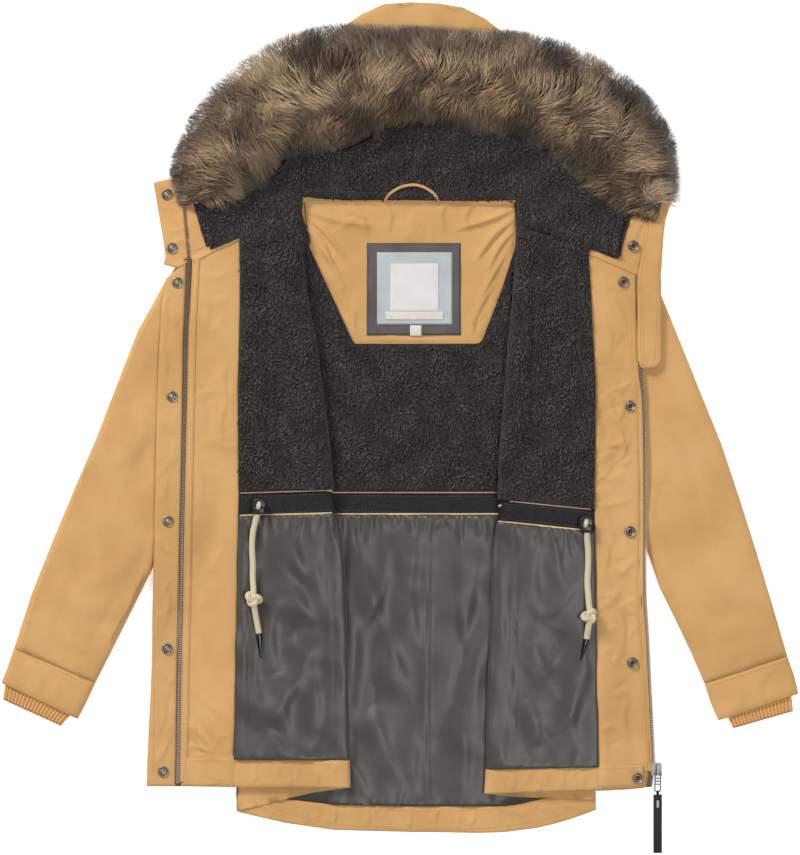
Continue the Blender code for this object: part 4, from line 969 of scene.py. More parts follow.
LININGS = {
    "back_lining": dict(
        cut=(0.470, 0.390), area=0.178, bed="back_shell_cloth", seed=81, left=-84, right=124, foot=-492,
        waist=((-86, -111), (26, -115), (126, -116)),
        seams=[((39, -116), (38, -250), (37, -380), (39, -494))],
        folds=[(12, 3.4, (-60, -130), (-40, -210), (-8, -300), (10, -340)),
               (14, 3.0, (-78, -180), (-62, -280), (-70, -380)),
               (10, 2.6, (20, -140), (12, -220), (26, -300)),
               (13, 3.2, (100, -140), (86, -240), (60, -330), (50, -380)),
               (12, 2.8, (-40, -360), (-20, -420), (0, -470)), (10, 2.6, (70, -360), (84, -420), (80, -480)),
               (14, 2.4, (106, -260), (96, -360), (104, -440)),
               (10, 2.0, (-16, -150), (-24, -210), (-50, -260)),
               (12, -2.4, (-30, -240), (-36, -330), (-54, -420)),
               (11, -2.2, (66, -170), (72, -260), (90, -330)),
               (9, 2.0, (-70, -430), (-50, -462), (-46, -486)),
               (9, 1.8, (20, -410), (16, -450), (24, -486))]),
    "left_lining": dict(
        cut=(0.155, 0.370), area=0.055, bed="left_front_cloth", seed=82, left=-209, right=-84, foot=-432,
        waist=((-209, -116), (-148, -114), (-86, -111)),
        seams=[((-197, -118), (-199, -220), (-200, -330), (-201, -430)),
               ((-90, -114), (-87, -200), (-85, -320), (-84, -430))],
        folds=[(10, 3.2, (-150, -120), (-134, -170), (-126, -206)),
               (12, 3.4, (-168, -170), (-140, -210), (-112, -260)),
               (14, 3.4, (-112, -270), (-136, -330), (-170, -380), (-188, -420)),
               (11, 2.8, (-160, -220), (-170, -270), (-160, -320)),
               (10, 2.6, (-120, -300), (-110, -360), (-120, -420)),
               (9, 2.2, (-150, -330), (-150, -380), (-136, -424)),
               (12, -2.6, (-140, -250), (-156, -300), (-180, -340)),
               (8, 1.8, (-104, -140), (-108, -190), (-98, -240)),
               (9, 2.0, (-188, -260), (-190, -320), (-184, -370)),
               (8, 2.2, (-176, -390), (-160, -410), (-150, -428))]),
    "right_lining": dict(
        cut=(0.150, 0.368), area=0.053, bed="right_front_cloth", seed=83, left=122, right=252, foot=-444,
        waist=((127, -122), (190, -129), (251, -135)),
        seams=[((152, -126), (151, -220), (150, -330), (150, -440))],
        folds=[(11, 2.8, (180, -136), (172, -190), (180, -250)),
               (12, 3.2, (232, -190), (206, -230), (172, -250)),
               (12, 3.2, (170, -280), (192, -330), (206, -360)),
               (13, 3.2, (240, -310), (222, -370), (190, -400)),
               (10, 2.6, (226, -330), (222, -380), (230, -420)),
               (10, 2.4, (162, -350), (176, -390), (170, -430)),
               (12, -2.6, (210, -260), (196, -300), (170, -320)),
               (8, 2.0, (134, -160), (130, -230), (136, -300)),
               (8, 1.9, (206, -140), (204, -180), (214, -214)),
               (9, 2.2, (240, -240), (236, -280), (242, -330)),
               (8, 1.8, (130, -340), (136, -390), (128, -430))]),
}


def full(x, y, facts):
    """Relief of one lining: its folds, its seams as a groove between two ridges, and its gathers."""
    sides = facts["left"], facts["right"]
    relief = creases(x, y, *[(1.75 * wide, 1.15 * high, *line) for wide, high, *line in facts["folds"]])
    relief += sum(creases(x, y, (2.6, -1.7, *seam), (7.0, 1.1, *seam)) for seam in facts["seams"])
    relief += gathered(x, y, facts["seed"], *sides, lambda a: np.interp(a, *zip(*facts["waist"])), 56.0, 3.6, 8.5)
    relief += gathered(x, y, facts["seed"] + 9, *sides, lambda a: facts["foot"] + 0 * a, -34.0, 1.8, 14.0)
    return relief + (drape(x, y, facts["seed"], 58, 3.0) + 0.2)


for node, facts in LININGS.items():
    at_back = node == "back_lining"
    piece = cloth(node, f"{node}_cloth", 3.9, under=16.0, seen=(-94, -510, 134, -104) if at_back else None)
    if at_back:
        dropped(piece)
    # The back lining lies flat where the fronts cover it.
    lifted(piece, lambda x, y: full(x, y, facts) * (
        smooth((facts["right"] + 12 - x) / 14) * smooth((x - facts["left"] + 14) / 14) if at_back else 1.0))
    laid(piece, node, taffeta)


# Hood: its outer cloth lies under the fleece and shows as a camel cap behind the ruff.
hood = cloth("hood_shell", "hood_cloth", 10.0)
lifted(hood, lambda x, y: creases(
    x, y, (5, 1.6, (-16, 512), (-22, 530), (-18, 548)), (5, 1.4, (34, 512), (44, 530), (40, 548)),
    (6, 1.5, (72, 506), (84, 522), (92, 538)), (4, 1.2, (8, 516), (12, 532), (8, 550)),
    (5, 1.4, (-44, 510), (-40, 524), (-48, 540))) + drape(x, y, 91, 60, 1.6))
lifted(hood, lambda x, y: -(0.4 + drape(x, y, 92, 70, 1.2)), side=-1)
laid(hood, "hood_shell", camel)


# Ruff: faux fur of modacrylic pile, 50 to 70 mm long, on a knitted back. It parts along a line near
# its inner edge: from there dark tipped guard hairs run outwards and pale tips run inwards.
faux_fur, shader = new_finish("modacrylic faux fur pile")
tint = put(faux_fur, "Attribute", attribute_name="Tone")
speck = put(faux_fur, "TexNoise", {"Vector": put(faux_fur, "TexCoord").outputs["Object"], "Scale": 210.0,
                                   "Detail": 2.0})
hair_tone = put(faux_fur, "MixRGB", {"Color1": tint.outputs["Color"], "Color2": linear("#57493E"), "Fac": put(
    faux_fur, "MapRange", {"Value": speck, "From Min": 0.5, "From Max": 0.75, "To Max": 0.35})})
feed(shader, {"Base Color": hair_tone, "Roughness": 0.55, "Specular IOR Level": 0.35, "Sheen Weight": 0.15})

# Stations of the ruff from its left end to its right end: inner edge x and y, outer edge x and y.
RUFF = np.array([
    (-263, 294, -283, 289), (-209, 295, -296, 340), (-173, 322, -284, 378), (-155, 341, -249, 438),
    (-131, 361, -200, 481), (-100, 362, -150, 509), (-69, 362, -95, 524), (-40, 376, -45, 525),
    (-10, 393, 0, 521), (22, 397, 45, 519), (52, 398, 90, 516), (78, 389, 135, 514), (104, 387, 172, 511),
    (130, 382, 215, 502), (165, 374, 255, 482), (196, 357, 295, 459), (222, 330, 331, 422),
    (252, 304, 353, 385), (294, 279, 355, 335), (335, 272, 343, 306)], float)


def ruff_place(along, across):
    """Places on the ruff in plan, for a share along it and a share across it from its inner edge."""
    at = along * (len(RUFF) - 1)
    line = np.stack([np.interp(at, np.arange(len(RUFF)), RUFF[:, k]) for k in range(4)], 1)
    return line[:, :2] * (1 - across[:, None]) + line[:, 2:] * across[:, None]


def top_of(*pieces):
    """A function that gives the height of the pieces' upper face at places in plan, in millimetres."""
    corners, faces = [], []
    for piece in pieces:
        piece = bpy.data.objects[piece] if isinstance(piece, str) else piece
        first = len(corners)
        corners += [v.co.copy() for v in piece.data.vertices]
        faces += [[first + i for i in p.vertices] for p in piece.data.polygons]
    tree = BVHTree.FromPolygons(corners, faces)

    def height(x, y, default):
        """Height at each place, and the default where there is nothing."""
        found = []
        for a, b in zip(np.ravel(x), np.ravel(y)):
            hit = tree.ray_cast(Vector((a * MM, b * MM, 0.2)), Vector((0, 0, -1)))[0]
            found.append(default if hit is None else hit.z / MM)
        return np.array(found)

    return height


ruff_base = cloth("fur_trim", "ruff_backing", 10.0, under=24.0)
grid_along, grid_across = [g.ravel() for g in np.meshgrid(np.linspace(0, 1, 160), np.linspace(0, 1, 26))]
grid_place = ruff_place(grid_along, grid_across)
# The cloth that the fur grows from stops short of the fur's outer edge.
for vert in ruff_base.data.vertices:
    near = int(((grid_place - np.array(vert.co[:2]) / MM) ** 2).sum(1).argmin())
    spot = ruff_place(grid_along[near:near + 1], 0.90 * grid_across[near:near + 1])[0]
    vert.co.x, vert.co.y = spot[0] * MM, spot[1] * MM
lifted(ruff_base, lambda x, y: -7.0 + nubs(x, y, 95, 16.0, 5.0))
underfur, shader = new_finish("dense brown underfur")
deep_noise = put(underfur, "TexNoise", {"Vector": put(underfur, "TexCoord").outputs["Object"], "Scale": 180.0,
                                        "Detail": 5.0})
# Its colour follows its bump. The hollows are painted darker and the raised tufts lighter, as painted shade and
# light.
feed(shader, {"Base Color": put(underfur, "MixRGB", {
    "Fac": deep_noise, "Color1": linear("#2E251F"), "Color2": linear("#7A6452")})})
feed(shader, {"Normal": put(underfur, "Bump", {"Height": deep_noise, "Distance": 0.004}), "Roughness": 0.9})
finished(ruff_base, underfur)
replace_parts(ruff_base, "fur_trim")

fur_top = top_of(frame["nodes"]["fur_trim"])
fleece_top = top_of(frame["nodes"]["hood_fleece"], frame["nodes"]["hood_shell"],
                    frame["nodes"]["left_collar"], frame["nodes"]["right_collar"])


def soft_noise(x, y, seed, pitch):
    """Even noise from 0 to 1 with blotches about a pitch across."""
    pick = np.random.default_rng(seed)
    total = np.zeros(len(x))
    for _ in range(14):
        way, phase = pick.uniform(0, 2 * np.pi), pick.uniform(0, 6.28)
        wave = pitch * pick.uniform(0.6, 1.8)
        total += np.sin(2 * np.pi * (x * np.cos(way) + y * np.sin(way)) / wave + phase)
    return np.clip(0.5 + total / 7.5, 0, 1)


def mixed(first, last, share):
    """Colours between two, by a share for each strand. Either may be a hex value."""
    first, last = [np.array(linear(c)[:3]) if isinstance(c, str) else c for c in (first, last)]
    return first * (1 - share[:, None]) + last * share[:, None]


def strands(name, line, sizes, colours, finish):
    """Tapered three-sided strands as one mesh, from three places, sizes and colours for each. Each has
    a ring of corners at its root, one at its middle, and a point."""
    count = len(line)
    ahead = np.gradient(line, axis=1)
    ahead /= np.linalg.norm(ahead, axis=2)[..., None]
    flat = np.cross(ahead, (0.0, 0.0, 1.0))
    flat /= np.linalg.norm(flat, axis=2)[..., None] + 1e-9
    up = np.cross(flat, ahead)
    rings = []
    for k in range(2):
        for angle in (0.0, 2.094, 4.189):
            out = flat[:, k] * math.cos(angle) + 0.8 * up[:, k] * math.sin(angle)
            rings.append(line[:, k] + sizes[:, k, None] * out)
    corners = np.stack([*rings, line[:, 2]], 1)
    sides = ((0, 1), (1, 2), (2, 0))
    shape = [(2, 1, 0), *[(a, b, 3 + b) for a, b in sides], *[(a, 3 + b, 3 + a) for a, b in sides],
             *[(3 + a, 3 + b, 6) for a, b in sides]]
    faces = (np.array(shape)[None] + 7 * np.arange(count)[:, None, None]).reshape(-1, 3)
    mesh = bpy.data.meshes.new(name)
    mesh.vertices.add(count * 7)
    mesh.vertices.foreach_set("co", (corners * MM).ravel())
    mesh.loops.add(faces.size)
    mesh.loops.foreach_set("vertex_index", faces.ravel().astype(np.int32))
    mesh.polygons.add(len(faces))
    mesh.polygons.foreach_set("loop_start", np.arange(0, faces.size, 3, dtype=np.int32))
    mesh.polygons.foreach_set("use_smooth", np.ones(len(faces), bool))
    mesh.update(calc_edges=True)
    paint = np.ones((count, 7, 4))
    for k in range(2):
        paint[:, 3 * k:3 * k + 3, :3] = colours[:, k, None]
    paint[:, 6, :3] = colours[:, 2]
    layer = mesh.color_attributes.new("Tone", "FLOAT_COLOR", "POINT")
    layer.data.foreach_set("color", paint.ravel().astype(np.float32))
    finished(placed(name, mesh), finish)


def curved(root, heading, bend, run, parts):
    """Places in plan at parts of the way along strands that bend more and more to one side."""
    return root[:, None] + run[:, None, None] * (heading[:, None] * parts[None, :, None]
                                                 + bend[:, None] * (parts ** 2)[None, :, None])


def hair_coat(name, count, locks, seed, share_across, outwards, length, lift, thick, tones):
    """Locks of hair: strands that rise from the ruff round each lock's root and meet towards its tip."""
    pick = np.random.default_rng(seed)
    lock_along = pick.uniform(0.0, 1.0, locks)
    lock_across = share_across[0] + (share_across[1] - share_across[0]) * pick.random(locks) ** share_across[2]
    lock_across += 0.16 * (soft_noise(lock_along * 1000, lock_along * 0, seed + 5, 90) - 0.5)
    lock_of = pick.integers(0, locks, count)

    def grown(along, across, turn, run):
        """Root, heading and run of strands at these places of the ruff, kept within its edge."""
        root = ruff_place(along, across)
        way = ruff_place(along, np.ones(len(along))) - ruff_place(along, np.zeros(len(along)))
        wide_here = np.linalg.norm(way, axis=1)
        way /= wide_here[:, None]
        side = np.stack([way[:, 1], -way[:, 0]], 1)
        sway = 1.5 * (soft_noise(root[:, 0], root[:, 1], seed + 1, 95) - 0.5) + turn
        sway += 0.9 * (soft_noise(root[:, 0], root[:, 1], seed + 3, 38) - 0.5)
        heading = (1 if outwards else -1) * way + side * sway[:, None]
        heading /= np.linalg.norm(heading, axis=1)[:, None]
        room = (1 - across if outwards else across) * wide_here + (4.5 if outwards else 8.0)
        run = np.minimum(run, np.maximum(room, 12.0))
        return root, heading, run

    lock_turn = pick.normal(0, 0.30, locks)
    lock_root, lock_heading, lock_run = grown(lock_along, lock_across, lock_turn,
                                              length * pick.uniform(0.72, 1.2, locks))
    along = np.clip(lock_along[lock_of] + pick.normal(0, 0.0075, count), 0, 1)
    across = np.clip(lock_across[lock_of] + pick.normal(0, 0.055, count), 0.02, 0.95)
    root, heading, run = grown(along, across, lock_turn[lock_of] + pick.normal(0, 0.22, count),
                               length * pick.uniform(0.6, 1.15, count))
    bend = np.stack([heading[:, 1], -heading[:, 0]], 1) * pick.normal(0, 0.12, count)[:, None]
    parts = np.array([0.0, 0.48, 1.0])
    plan = curved(root, heading, bend, run, parts)
    lock_line = lock_root[:, None] + (lock_heading * lock_run[:, None])[:, None] * parts[None, :, None]
    pull = np.array([0.0, 0.30, 0.56])[None, :, None] * pick.uniform(0.5, 1.15, count)[:, None, None]
    plan += (lock_line[lock_of] - plan) * pull
    on_fur = fur_top(plan[..., 0], plan[..., 1], -1.0).reshape(count, 3)
    beside = fleece_top(plan[..., 0], plan[..., 1], 1.5).reshape(count, 3) + 2.5
    raised = np.where(on_fur > 0, on_fur, beside)
    rise = lift * (pick.uniform(0.3, 1.2, count) + 0.5 * pick.random(locks)[lock_of])
    level = raised + rise[:, None] * np.array([-1.0, 0.85, 0.5])[None] - 1.5
    for k in (1, 2):
        level[:, k] = np.maximum(level[:, k], level[:, k - 1] - run / 2 * 0.9)
        level[:, k] = np.minimum(level[:, k], level[:, k - 1] + run / 2 * 0.55)
    line = np.concatenate([plan, np.clip(level, 1.0, 66.0)[..., None]], 2)
    sizes = (thick * pick.uniform(0.7, 1.3, count))[:, None] * np.array([0.95, 0.95, 0.0])[None]
    strands(name, line, sizes, tones(plan, across, pick, pick.random(locks)[lock_of]), faux_fur)


def outer_tones(plan, across, pick, lock):
    """Brown roots, tan and brown middles in blotches, and nearly black tips in a broken rim."""
    count = len(plan)
    x, y = plan[:, 0, 0], plan[:, 0, 1]
    blotch = np.clip(soft_noise(x, y, 301, 62) * 3.2 - 1.25 + 0.35 * (lock - 0.5), 0, 1)
    patch = np.clip(soft_noise(plan[:, 2, 0], plan[:, 2, 1], 302, 85) * 3.0 - 1.0 + 0.5 * (lock - 0.5), 0.12, 1)
    odd = pick.random(count)
    root = mixed("#2E2118", "#523A28", pick.random(count))
    tan = mixed("#AE8D69", "#D8B88E", pick.random(count))
    brown = mixed("#43301F", "#785A3C", pick.random(count))
    middle = mixed(tan, brown, np.clip(blotch * 0.9 + 0.5 * (odd > 0.86), 0, 1))
    rim = np.clip((across - 0.44) / 0.2, 0, 1) * patch
    dark = mixed("#14100E", "#33271F", pick.random(count))
    tip = mixed(mixed(tan, "#E3D2B8", pick.random(count) * 0.8), middle, blotch * 0.7)
    tip = mixed(tip, dark, np.clip(rim * 1.25 + 0.4 * (odd < 0.16), 0, 1))
    shade = (0.72 + 0.5 * lock)[:, None, None]
    third = mixed(middle, tip, np.clip(0.55 + 0.5 * rim, 0, 1))
    return np.stack([root, mixed(middle, third, np.full(count, 0.6)), tip], 1) * shade


def inner_tones(plan, across, pick, lock):
    """Brown roots in the parting, olive tan middles and pale cream tips over the fleece."""
    count = len(plan)
    blotch = np.clip(soft_noise(plan[:, 0, 0], plan[:, 0, 1], 305, 55) * 3.0 - 1.3, 0, 0.9)
    root = mixed("#31261D", "#5E4936", pick.random(count))
    middle = mixed("#8E7050", "#BC9C75", pick.random(count))
    middle = mixed(middle, "#4A3B2C", blotch)
    tip = mixed("#B39670", "#E8DBC2", pick.random(count))
    tip = mixed(tip, middle, np.clip(blotch * 0.6 + 0.6 * (lock > 0.8), 0, 1))
    shade = (0.72 + 0.5 * lock)[:, None, None]
    return np.stack([root, middle, tip], 1) * shade


hair_coat("ruff_guard_hairs", 10800, 620, 401, (0.20, 0.90, 0.9), True, 47.0, 8.0, 0.48, outer_tones)
hair_coat("ruff_rim_hairs", 6900, 560, 402, (0.60, 0.93, 1.0), True, 36.0, 4.0, 0.34, outer_tones)
hair_coat("ruff_inner_hairs", 7300, 420, 403, (0.03, 0.38, 0.8), False, 38.0, 6.0, 0.44, inner_tones)

# The hood's own camel edge shows as a narrow binding where the fur stands off it.
edge_run = even_points([(180, 372), (197, 362), (213, 352), (228, 341), (244, 327)], 3.0)
edge_run[:, 2] = fleece_top(edge_run[:, 0], edge_run[:, 1], 10.0) + 3.2
finished(rod("hood_edge_binding", edge_run, [0.9, 1.8, 1.8, 0.9], sides=8), camel)


# Waist channel: a black grosgrain tape, ribbed across, sewn over the join of fleece and lining. A
# camel piping is caught in each of its long edges.
grosgrain, shader = new_finish("black grosgrain ribbon")
place = put(grosgrain, "TexCoord").outputs["Object"]
ribs = put(grosgrain, "TexWave", {"Vector": place, "Scale": 0.314 / 0.0018, "Distortion": 0.3},
           bands_direction="X")
lint = put(grosgrain, "TexNoise", {"Vector": place, "Scale": 520.0, "Detail": 3.0})
feed(shader, {"Base Color": put(grosgrain, "MixRGB", {
    "Color1": linear("#101012"), "Color2": linear("#2A2A2D"),
    "Fac": put(grosgrain, "MapRange", {"Value": lint, "From Min": 0.4, "From Max": 0.75})})})
feed(shader, {"Normal": put(grosgrain, "Bump", {
    "Height": ribs, "Distance": 0.0003, "Strength": 0.7})})
feed(shader, {"Roughness": 0.7, "Specular IOR Level": 0.3})

TAPES = {
    "back": ((0.470, 0.031), "back_shell_cloth", [(6, 1.0, (-60, -86), (-56, -98), (-62, -112)),
                                                  (6, 0.9, (60, -86), (66, -100), (60, -114))]),
    "left": ((0.150, 0.031), "left_front_cloth", [(6, 1.0, (-160, -86), (-154, -100), (-158, -114)),
                                                  (5, 0.9, (-120, -84), (-124, -98), (-118, -112))]),
    "right": ((0.146, 0.031), "right_front_cloth", [(6, 1.0, (170, -100), (176, -112), (170, -126)),
                                                    (5, 0.9, (212, -104), (208, -118), (214, -130))]),
}
tapes = {}
for side, (cut, bed, marks) in TAPES.items():
    tapes[side] = cloth(f"{side}_tape", f"{side}_waist_tape", 3.0, under=12.0)
    lifted(tapes[side], lambda x, y: creases(x, y, *marks) + drape(x, y, 101, 50, 0.5))
    laid(tapes[side], f"{side}_tape", grosgrain)

piping_cloth, shader = new_finish("cotton piping in pale camel")
dye(piping_cloth, shader, "#C8A274", "#DCBA8B", "#E8CCA4", size=30.0)
feed(shader, {"Roughness": 0.75})


def evened(values, reach):
    """Each value replaced by the mean of it and its neighbours up to a reach."""
    return np.convolve(np.pad(values, reach, mode="edge"), np.ones(2 * reach + 1) / (2 * reach + 1), "valid")


# Side, first and last place across, where the search for the tape's edge starts, and its step.
PIPINGS = {
    "back_upper": ("back", -105, 151, -60, -0.5), "back_lower": ("back", -105, 152, -140, 0.5),
    "left_upper": ("left", -208, -84, -60, -0.5), "left_lower": ("left", -208, -84, -140, 0.5),
    "right_upper": ("right", 128, 251, -70, -0.5), "right_lower": ("right", 128, 251, -160, 0.5),
}
for name, (side, first, last, outside, step) in PIPINGS.items():
    bed = top_of(tapes[side])
    run = []
    for x in np.arange(first, last, 6.0):
        tries = outside + step * np.arange(160)
        levels = bed(tries * 0 + x, tries, np.nan)
        found = np.flatnonzero(np.isfinite(levels))
        if len(found):
            edge = found[0]
            run.append((x, tries[edge] - step * 0.6, np.nanmax(levels[edge:edge + 8]) - 0.2))
    run = np.array(run)
    for axis in (1, 2):
        run[:, axis] = evened(run[:, axis], 2)
    run[:, 2] += np.sin(np.arange(len(run)) * 2.1) * 0.12
    finished(rod(f"{name}_piping", run, 1.35, sides=10, gap=2.5), piping_cloth)


# Back yoke: the outer cloth again, inside the neck. It is pulled towards its upper corners, and a
# narrow piping edges it where it meets the fleece.
yoke = cloth("back_yoke", "back_yoke_cloth", 3.4, under=16.0)
YOKE_CREASES = [
    (5, 1.9, (-122, 286), (-86, 272), (-30, 262)), (5, 1.7, (-122, 276), (-92, 250), (-66, 216)),
    (4.5, 1.6, (-118, 262), (-98, 236), (-86, 206)), (5, 1.5, (-110, 244), (-88, 214), (-70, 176)),
    (6, 1.3, (-100, 216), (-80, 180), (-60, 150)), (5, 1.3, (-70, 292), (-50, 276), (-40, 250)),
    (4, -1.2, (-116, 268), (-96, 246), (-78, 224)), (5, 1.2, (-24, 294), (-12, 276), (-16, 252)),
    (5, 1.9, (150, 284), (116, 270), (70, 256)), (5, 1.7, (150, 272), (124, 250), (100, 218)),
    (4.5, 1.5, (148, 256), (128, 232), (114, 200)), (5, 1.4, (138, 226), (120, 196), (104, 166)),
    (6, 1.3, (124, 190), (104, 156), (92, 126)), (5, 1.2, (96, 292), (86, 274), (92, 254)),
    (4, -1.2, (142, 262), (122, 242), (108, 222)), (5, 1.1, (60, 292), (54, 274), (60, 252)),
    (6, 1.0, (-50, 130), (0, 116), (50, 116)), (5, 1.0, (88, 150), (96, 130), (90, 114)),
    (5, 1.1, (-56, 160), (-60, 134), (-52, 114)),
]
YOKE_CREASES += scattered(111, 22, (-100, 115, 130, 290), 26, 4.0, 0.6, 55)
lifted(yoke, lambda x, y: creases(x, y, *YOKE_CREASES) * 1.7
       * np.where((np.abs(x - 18) < 63) & (np.abs(y - 180) < 62), 0.25, 1.0) + drape(x, y, 112, 50, 0.7))
laid(yoke, "back_yoke", camel)

yoke_top = top_of(yoke)
run = []
for x in np.arange(-57.0, 103.0, 5.0):
    tries = 100.0 + 0.4 * np.arange(60)
    levels = yoke_top(tries * 0 + x, tries, np.nan)
    found = np.flatnonzero(np.isfinite(levels))
    run.append((x, tries[found[0]], levels[found[0]:found[0] + 8].max()))
for start, step, at_front in ((-140.0, 0.5, True), (165.0, -0.5, False)):
    side = []
    for y in np.arange(114.0, 262.0, 5.0):
        tries = start + step * np.arange(200)
        levels = yoke_top(tries, tries * 0 + y, np.nan)
        found = np.flatnonzero(np.isfinite(levels))
        side.append((tries[found[0]], y, levels[found[0]:found[0] + 8].max()))
    run = side[::-1] + run if at_front else run + side
run = np.array(run)
run[:, 2] = evened(run[:, 2], 2) - 0.1
finished(rod("yoke_piping", run, 1.1, sides=8, gap=2.5), camel)


# Neck label: a grey taffeta patch sewn on at its edge, a pale satin panel on that, and on the panel
# a white woven square, a cream woven strip and a folded size tag. All of them are plain.
label_grey, shader = new_finish("grey taffeta")
dye(label_grey, shader, "#484342", "#544E4D", "#615A59", size=30.0)
weave(label_grey, shader, 0.0010, 0.00015, 0.0)
feed(shader, {"Roughness": 0.55})
label_blue, shader = new_finish("pale blue grey satin")
dye(label_blue, shader, "#A5ACB0", "#B1B8BB", "#BDC3C6", size=30.0)
weave(label_blue, shader, 0.0009, 0.0001, 0.0)
feed(shader, {"Roughness": 0.45, "Sheen Weight": 0.15})
label_white, shader = new_finish("white woven label cloth")
dye(label_white, shader, "#D3D2CF", "#D9D8D6", "#DDDDDB", size=40.0)
weave(label_white, shader, 0.0008, 0.00015, 0.0)
feed(shader, {"Roughness": 0.7})
label_cream, shader = new_finish("cream woven label cloth")
dye(label_cream, shader, "#CFC8BA", "#D9D2C5", "#E2DCD1", size=40.0)
weave(label_cream, shader, 0.0008, 0.00015, 0.0)
feed(shader, {"Roughness": 0.7})

LABEL_CREASES = [(4, 0.9, (-40, 236), (-30, 222), (-42, 204)), (4, 0.8, (-41, 190), (-34, 176), (-40, 158)),
                 (4, 0.8, (76, 232), (70, 216), (77, 198)), (4, 0.8, (74, 150), (70, 136), (60, 124)),
                 (4, 0.7, (-40, 140), (-30, 128), (-14, 124)), (3.5, 0.7, (20, 238), (36, 233), (52, 238))]


def label_swell(x, y):
    """The slow swell that all layers of the label share."""
    return drape(x, y, 113, 70, 0.9)


label = cloth("label_frame", "label_frame_cloth", 4.0)
lifted(label, lambda x, y: creases(x, y, *LABEL_CREASES) + label_swell(x, y))
laid(label, "label_frame", label_grey)
panel = cloth("label_panel", "label_panel_cloth", 4.0)
lifted(panel, lambda x, y: 0.25 + label_swell(x, y))
laid(panel, "label_panel", label_blue)


def label_square(name, finish, x_range, y_range, level, thick):
    """A small woven label, turned under at its edges, that follows what it is sewn to."""
    wide, long = x_range[1] - x_range[0], y_range[1] - y_range[0]
    piece = shaped(name, finish, (wide, long, thick), (sum(x_range) / 2, sum(y_range) / 2, level), round_by=0.3,
                   segments=2)
    work = bmesh.new()
    work.from_mesh(piece.data)
    for _ in range(6):
        wide_edges = [e for e in work.edges if e.calc_length() > 4.0 * MM]
        if wide_edges:
            bmesh.ops.subdivide_edges(work, edges=wide_edges, cuts=1, use_grid_fill=True)
    for vert in work.verts:
        vert.co.z += float(label_swell(np.array([vert.co.x / MM]), np.array([vert.co.y / MM]))[0]) * MM
    work.to_mesh(piece.data)
    work.free()
    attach(piece, "parka")


label_square("label_white_square", label_white, (-12.5, 50), (151.5, 213.5), 8.75, 0.7)
label_square("label_cream_strip", label_cream, (-19, 56), (140.5, 151.0), 8.95, 0.8)
tag = cloth("size_tag", "size_tag_cloth", 3.0)
lifted(tag, lambda x, y: 0.8 + 0.5 * np.sin((y - 119) / 14 * math.pi))
laid(tag, "size_tag", label_cream)


# Hanger loop: a strip of the outer cloth, rolled and stitched to a 4.5 mm cord-like strap, its two
# ends sewn into the neck seam.
loop_line = [(-19.6, 290.5, 5.0), (-19.0, 295.5, 9.0), (-16.8, 300, 11.6), (-12, 304.5, 13.0),
             (-3, 310.5, 13.7),
             (8, 314.3, 13.7), (20, 315.1, 13.7), (32, 311.8, 13.7), (42, 305.5, 12.8), (47.4, 300, 11.2),
             (49.8, 295.5, 8.8), (50.4, 290.5, 5.0)]
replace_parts(finished(rod("hanger_strap", loop_line, 2.0, sides=12, gap=2.0), camel), "hanger_loop")


# Front zip: a brown woven tape down each front's edge, and on it the metal teeth, each a small
# clamped block with a rounded head. Brown-black lacquer has worn off the lower ones.
zip_tape, shader = new_finish("brown woven zip tape")
place = put(zip_tape, "TexCoord").outputs["Object"]
herring = put(zip_tape, "TexWave", {"Vector": place, "Scale": 0.314 / 0.0016, "Distortion": 1.2},
              bands_direction="Y")
# The tape is painted lighter on the ridges of its herringbone and darker in its grooves. This is painted light
# and shade that follows its bump.
feed(shader, {"Base Color": put(zip_tape, "MixRGB", {
    "Color1": linear("#4A3C30"), "Color2": linear("#6E5A45"), "Fac": herring})})
feed(shader, {"Normal": put(zip_tape, "Bump", {
    "Height": herring, "Distance": 0.0002, "Strength": 0.7})})
feed(shader, {"Roughness": 0.8})

old_brass, shader = new_finish("worn brown lacquered brass")
place = put(old_brass, "TexCoord").outputs["Object"]
low = put(old_brass, "MapRange", {"Value": put(old_brass, "SeparateXYZ", {"Vector": place}).outputs["Y"],
                                  "From Min": 0.12, "From Max": -0.25})
rub = put(old_brass, "TexNoise", {"Vector": place, "Scale": 420.0, "Detail": 2.0})
bare = put(old_brass, "Math", {0: put(old_brass, "Math", {0: low, 1: 0.75}, operation="MULTIPLY"),
                               1: put(old_brass, "MapRange", {"Value": rub, "From Min": 0.35, "From Max": 0.7,
                                                              "To Max": 0.35})}, operation="ADD")
feed(shader, {"Base Color": put(old_brass, "MixRGB", {
    "Fac": bare, "Color1": linear("#7E6D5B"), "Color2": linear("#C0B8AC")})})
feed(shader, {"Metallic": 0.45, "Roughness": 0.38})

ZIPS = {
    "left": ([(-272.5, 219), (-274.6, 180), (-277.6, 119), (-279.2, 40), (-281, -44), (-283, -134),
              (-285, -224),
              (-287.4, -340), (-289.2, -462)], 0.016),
    "right": ([(308, 198), (309.5, 140), (312.4, 73), (317, 36), (318.4, -10), (319, -66), (319.2, -150),
               (319, -224),
               (323, -275), (326.5, -350), (330.6, -430), (331.5, -448)], 0.016),
}
ZIP_PITCH = 2.35
TOOTH = (4.4, 1.3, 2.2)


